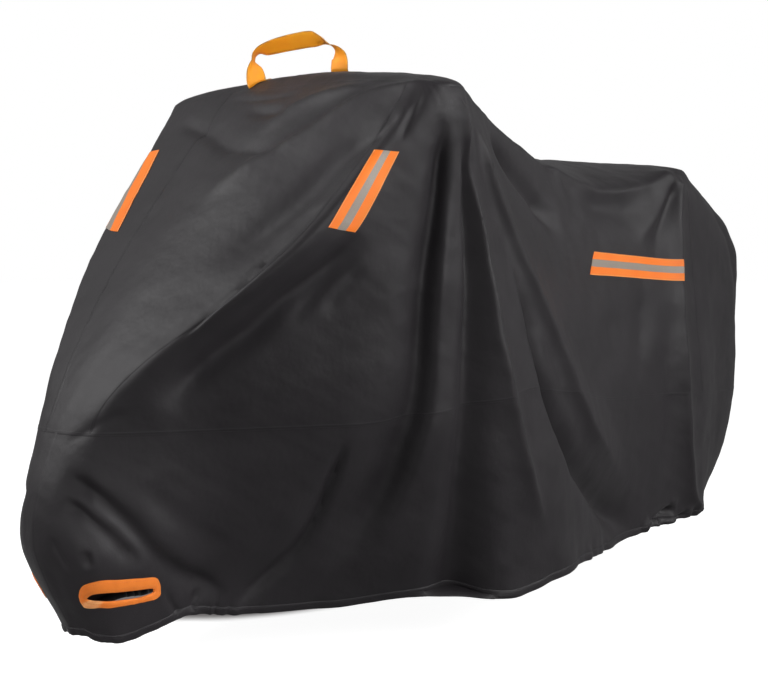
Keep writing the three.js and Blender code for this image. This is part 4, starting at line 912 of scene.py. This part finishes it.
def make_handle(crown):
    """The carry handle: webbing that lies flat on the crown behind each foot, bends up and stands as a loop,
    turned out of its plane at the pinched corners. Its UV is (share across, metres along)."""
    turn = math.radians(HANDLE["turn"])
    across = np.array([math.sin(turn), -math.cos(turn), 0])
    behind = np.array([math.cos(turn), math.sin(turn), 0])
    up = np.array([0, 0, 1.0])
    middle = np.array([HANDLE["back"] - ORIGIN_BACK, -HANDLE["out"], 0])
    tree = BVHTree.FromObject(crown, bpy.context.evaluated_depsgraph_get())

    def crown_height(point):
        return tree.ray_cast(Vector((point[0], point[1], 2)), Vector((0, 0, -1)))[0].z

    marks = curve_through([station[1:] for station in HANDLE_STATIONS], HANDLE["samples"])
    centres = middle + marks[:, :1] * across + (crown_height(middle) + marks[:, 1:2]) * up
    direction = unit(np.gradient(centres, axis=0))
    wide = turned(np.cross(direction, behind), direction, marks[:, 2])
    standing = np.array([centre[2] - crown_height(centre) for centre in centres]) > HANDLE["clear"]
    centres, wide = centres[standing], wide[standing]
    tabs = []
    for foot, foot_wide in ((centres[0], wide[0]), (centres[-1], wide[-1])):
        level_wide = unit(foot_wide * [1, 1, 0])
        side = level_wide * WEBBING["width"] * 0.4
        tab = []
        for back, lift in HANDLE_TAB:
            point = foot + behind * back
            left, right = crown_height(point - side), crown_height(point + side)
            point[2] = max(crown_height(point), (left + right) / 2) + WEBBING["lift"] + lift
            tab.append((point, unit(2 * side + up * (right - left))))
        tabs.append(tab)
    line = tabs[0] + list(zip(centres[::3], wide[::3])) + tabs[1][::-1]
    path, wides = [curve_through(values, HANDLE["stations"]) for values in zip(*line)]
    direction = unit(np.gradient(path, axis=0))
    thick = unit(np.cross(direction, wides))
    wides = np.cross(thick, direction)
    half, slim = WEBBING["width"] / 2, WEBBING["thickness"] / 2
    points = np.stack([path + wides * a * half + thick * b * slim for a, b in WEBBING_SECTION], axis=1)
    share = np.array([(1 + a) / 2 for a, _ in WEBBING_SECTION])
    return make_object("carry_handle_webbing", *bar(points), uv_grid(share, run_along(path)))


class Socket:
    """A shader socket that adds and multiplies as numbers do: each operator makes a Math node."""

    def __init__(self, tree, socket=None):
        self.tree = tree
        self.socket = socket

    def node(self, kind, settings, inputs, output=0):
        """Any other node of the tree, with its settings and its inputs by name or number."""
        node = self.tree.nodes.new(kind)
        for name, value in settings.items():
            setattr(node, name, value)
        for name, value in inputs.items():
            node_input = node.inputs[name]
            if isinstance(value, Socket):
                self.tree.links.new(value.socket, node_input)
            else:
                node_input.default_value = value
        return Socket(self.tree, node.outputs[output])

    def maths(self, operation, *others):
        """A Math node of this socket and others."""
        return self.node("ShaderNodeMath", {"operation": operation}, dict(enumerate([self, *others])))

    def __add__(self, other):
        return self.maths("ADD", other)

    def __sub__(self, other):
        return self.maths("SUBTRACT", other)

    def __rsub__(self, other):
        return self.maths("MULTIPLY", -1.0).maths("ADD", other)

    def __mul__(self, other):
        return self.maths("MULTIPLY", other)

    def __truediv__(self, other):
        return self.maths("DIVIDE", other)

    __radd__ = __add__
    __rmul__ = __mul__

    def step(self, low, high):
        """0 below low and 1 above high, smoothly between. low may lie above high."""
        settings = {"interpolation_type": "SMOOTHSTEP"}
        return self.node("ShaderNodeMapRange", settings, {"Value": self, "From Min": low, "From Max": high})

    def waves(self, period):
        """Sine waves over this socket's value."""
        return (self * (2 * math.pi / period)).maths("SINE")

    def colours(self, first, second):
        """The colour between two, by this socket's value."""
        settings = {"data_type": "RGBA"}
        return self.node("ShaderNodeMix", settings, {0: self, 6: first, 7: second}, output=2)

    def first_parts(self):
        """The first two numbers of this socket's vector."""
        return [self.node("ShaderNodeSeparateXYZ", {}, {0: self}, output=axis) for axis in (0, 1)]


def colour(red, green, blue):
    """Linear colour of a display colour from 0 to 255, by the sRGB curve."""
    linear = []
    for share in (red / 255, green / 255, blue / 255):
        linear.append(share / 12.92 if share <= 0.04045 else ((share + 0.055) / 1.055) ** 2.4)
    return (*linear, 1)


def grey(value):
    """A linear grey."""
    return (value, value, value, 1)


def new_material(name, constants):
    """A material with constants on its shader, a Socket to make nodes with, and a function that links a
    socket to the shader."""
    material = bpy.data.materials.new(name)
    material.use_nodes = True
    tree = material.node_tree
    shader = tree.nodes["Principled BSDF"]
    for key, value in constants.items():
        shader.inputs[key].default_value = value

    def link(target, socket):
        tree.links.new(socket.socket, shader.inputs[target])

    return material, Socket(tree), link


def uv_parts(start):
    """The two numbers of a piece's UV."""
    return start.node("ShaderNodeUVMap", {"uv_map": "cloth"}, {}).first_parts()


def object_place(start):
    """Object coordinates, in metres."""
    return start.node("ShaderNodeTexCoord", {}, {}, output=3)


def noise(start, scale, detail=2.0):
    """Noise from 0 to 1 over the object, with a scale in waves per metre."""
    inputs = {"Vector": object_place(start), "Scale": scale, "Detail": detail, "Roughness": 0.5}
    return start.node("ShaderNodeTexNoise", {}, inputs)


def bump(start, height):
    """A bump normal from a height in metres."""
    return start.node("ShaderNodeBump", {}, {"Strength": 1.0, "Distance": 1.0, "Height": height})


def cloth_material():
    """Black coated polyester: a fine plain weave under a thin coat, slightly crinkled."""
    material, start, link = new_material(
        "cover_cloth", {"Specular IOR Level": 0.34, "Sheen Weight": 0.05, "Sheen Roughness": 0.4})
    across, along = uv_parts(start)
    weave = across.waves(0.0014) * along.waves(0.0014)
    crinkle = noise(start, 38.0, 3.0)
    patch = noise(start, 6.0)
    link("Base Color", patch.step(0.3, 0.7).colours(colour(34, 31, 34), colour(39, 36, 39)))
    link("Roughness", patch * 0.08 + crinkle * 0.06 + 0.48)
    link("Normal", bump(start, crinkle * 0.0011 + weave * 0.00003))
    return material


def thread_material(name, red, green, blue):
    """Sewing thread, speckled with a shade 15% darker."""
    material, start, link = new_material(name, {"Roughness": 0.6, "Sheen Weight": 0.1})
    dark = colour(red * 0.85, green * 0.85, blue * 0.85)
    link("Base Color", noise(start, 900.0).colours(dark, colour(red, green, blue)))
    return material


def strip_material():
    """Fluorescent orange tape with a grey reflective stripe and light selvedges."""
    material, start, link = new_material("reflective_tape", {"Specular IOR Level": 0.4})
    across, along = uv_parts(start)
    off_middle = (across - 0.5).maths("ABSOLUTE")
    stripe = off_middle.step(0.165, 0.15)
    selvedge = off_middle.step(0.455, 0.47) * off_middle.step(0.498, 0.488)
    orange = noise(start, 14.0).colours(colour(255, 118, 20), colour(255, 142, 44))
    orange = (selvedge * 0.5).colours(orange, colour(255, 178, 110))
    beads = noise(start, 700.0).colours(colour(138, 128, 118), colour(166, 156, 146))
    link("Base Color", stripe.colours(orange, beads))
    link("Roughness", 0.55 - stripe * 0.17)
    link("Normal", bump(start, along.waves(0.0016) * 0.00004 * (1 - stripe) - stripe * 0.00015))
    return material


def binding_material():
    """Woven orange binding tape with fine ribs across its width, and a paler stretch at its joined end."""
    material, start, link = new_material("orange_tape", {"Sheen Weight": 0.04})
    _, turn = uv_parts(start)
    patch = noise(start, 40.0)
    shade = patch.colours(colour(240, 122, 30), colour(252, 142, 50))
    pale = turn.step(0.83, 0.86) * turn.step(0.97, 0.94)
    link("Base Color", (pale * 0.6).colours(shade, colour(248, 190, 130)))
    link("Roughness", patch * 0.1 + 0.6)
    link("Normal", bump(start, turn.waves(1 / 260) * 0.00006 + patch * 0.0006))
    return material


def webbing_material():
    """Amber webbing with fine ribs along it and grey edge threads."""
    material, start, link = new_material("amber_webbing", {"Sheen Weight": 0.04})
    across, along = uv_parts(start)
    edge = (across - 0.5).maths("ABSOLUTE").step(0.462, 0.475)
    patch = noise(start, 24.0)
    amber = patch.colours(colour(255, 152, 12), colour(255, 174, 30))
    link("Base Color", (edge * 0.7).colours(amber, colour(170, 140, 96)))
    link("Roughness", patch * 0.1 + 0.55)
    link("Normal", bump(start, (across.waves(1 / 16) + along.waves(0.0022) * 0.7) * 0.00008))
    return material


def add_lights_and_camera():
    """A room that is white to the camera and dim to the cover, the area lights, and the camera."""
    scene = bpy.context.scene
    scene.view_settings.view_transform = "Standard"
    world = bpy.data.worlds.new("room")
    world.use_nodes = True
    background = world.node_tree.nodes["Background"]
    seen = Socket(world.node_tree).node("ShaderNodeLightPath", {}, {})
    strength = seen * (1 - ROOM_LIGHT) + ROOM_LIGHT
    background.inputs["Color"].default_value = grey(1)
    world.node_tree.links.new(strength.socket, background.inputs["Strength"])
    scene.world = world

    def aim(thing, place, target):
        holder = bpy.data.objects.new(thing.name, thing)
        scene.collection.objects.link(holder)
        holder.location = place
        holder.rotation_euler = (Vector(target) - Vector(place)).to_track_quat("-Z", "Y").to_euler()
        return holder

    for name, place, target, size, power, spread in LIGHTS:
        light = bpy.data.lights.new(name, "AREA")
        light.size = size
        light.energy = power
        light.spread = math.radians(spread)
        aim(light, place, target)

    camera = bpy.data.cameras.new("camera")
    camera.sensor_width = 36
    camera.lens = CAMERA["lens"]
    camera.clip_end = 100
    azimuth, pitch = math.radians(CAMERA["azimuth"]), math.radians(CAMERA["pitch"])
    place = np.array(CAMERA["place"])
    level = math.cos(pitch)
    forward = [math.cos(azimuth) * level, math.sin(azimuth) * level, -math.sin(pitch)]
    scene.camera = aim(camera, place, place + forward)


def add_floor():
    """A pale floor with a painted shadow: it is dark in an ellipse under the cover's right side and beside
    it.
    """
    size, high = 30.0, -ORIGIN_HIGH - 0.002
    painted_shadow_place, painted_shadow_size = (-0.30, 0.42), (0.55, 0.38)
    points = np.array([(-size, -size, high), (size, -size, high), (size, size, high), (-size, size, high)])
    floor = make_object("floor", points, np.array([[0, 1, 2, 3]]))
    material, start, link = new_material("floor_with_painted_shadow", {"Roughness": 0.8, "Emission Strength": 0.96})
    shade = noise(start, 0.8)
    x, y = [
        (part - middle) / half
        for part, middle, half in zip(object_place(start).first_parts(), painted_shadow_place, painted_shadow_size)]
    # Painted shadow: inside this ellipse the floor's colour and its glow turn dark grey.
    under = (x * x + y * y).step(1.0, 0.6)
    link("Base Color", under.colours(shade.colours(grey(0.42), grey(0.45)), grey(0.1)))
    link("Emission Color", under.colours(shade.colours(grey(0.98), grey(1)), (0.1, 0.09, 0.09, 1)))
    floor.data.materials.append(material)
    floor.visible_diffuse = False
    floor.visible_glossy = False


cloth = cloth_material()
black_thread = thread_material("black_thread", 52, 51, 54)
orange_thread = thread_material("orange_thread", 236, 128, 50)

for panel in PANELS:
    piece = finish_piece(make_panel(panel), cloth, [panel.name])
    if panel.name == "crown":
        crown_piece = piece

orange_stitches = []
binding_tape = binding_material()
for side, side_name in ((1, "left"), (-1, "right")):
    band_name, binding_name = f"lock_band_{side_name}", f"lock_binding_{side_name}"
    piece = finish_piece(make_lock_band(side, band_name), cloth, [band_name])
    piece, rows = make_binding(side, binding_name)
    finish_piece(piece, binding_tape, [binding_name])
    orange_stitches += rows

laps = []
black_stitches = []
for seam in SEAMS:
    lap, rows = seam_parts(seam)
    laps.append(lap)
    black_stitches += rows
finish_piece(make_object("seam_laps", *joined(laps)), cloth)

casing, hem_stitches = hem_parts()
finish_piece(make_object("hem_casing", *casing), cloth)
black_stitches.append(hem_stitches)
finish_piece(make_object("stitching", *joined(black_stitches)), black_thread)

strip_tape = strip_material()
for strip in STRIPS:
    piece, rows = make_strip(strip)
    finish_piece(piece, strip_tape, [strip.name])
    orange_stitches += rows
finish_piece(make_object("tape_stitching", *joined(orange_stitches)), orange_thread)

finish_piece(make_handle(crown_piece), webbing_material(), ["carry_handle"])

add_floor()
add_lights_and_camera()
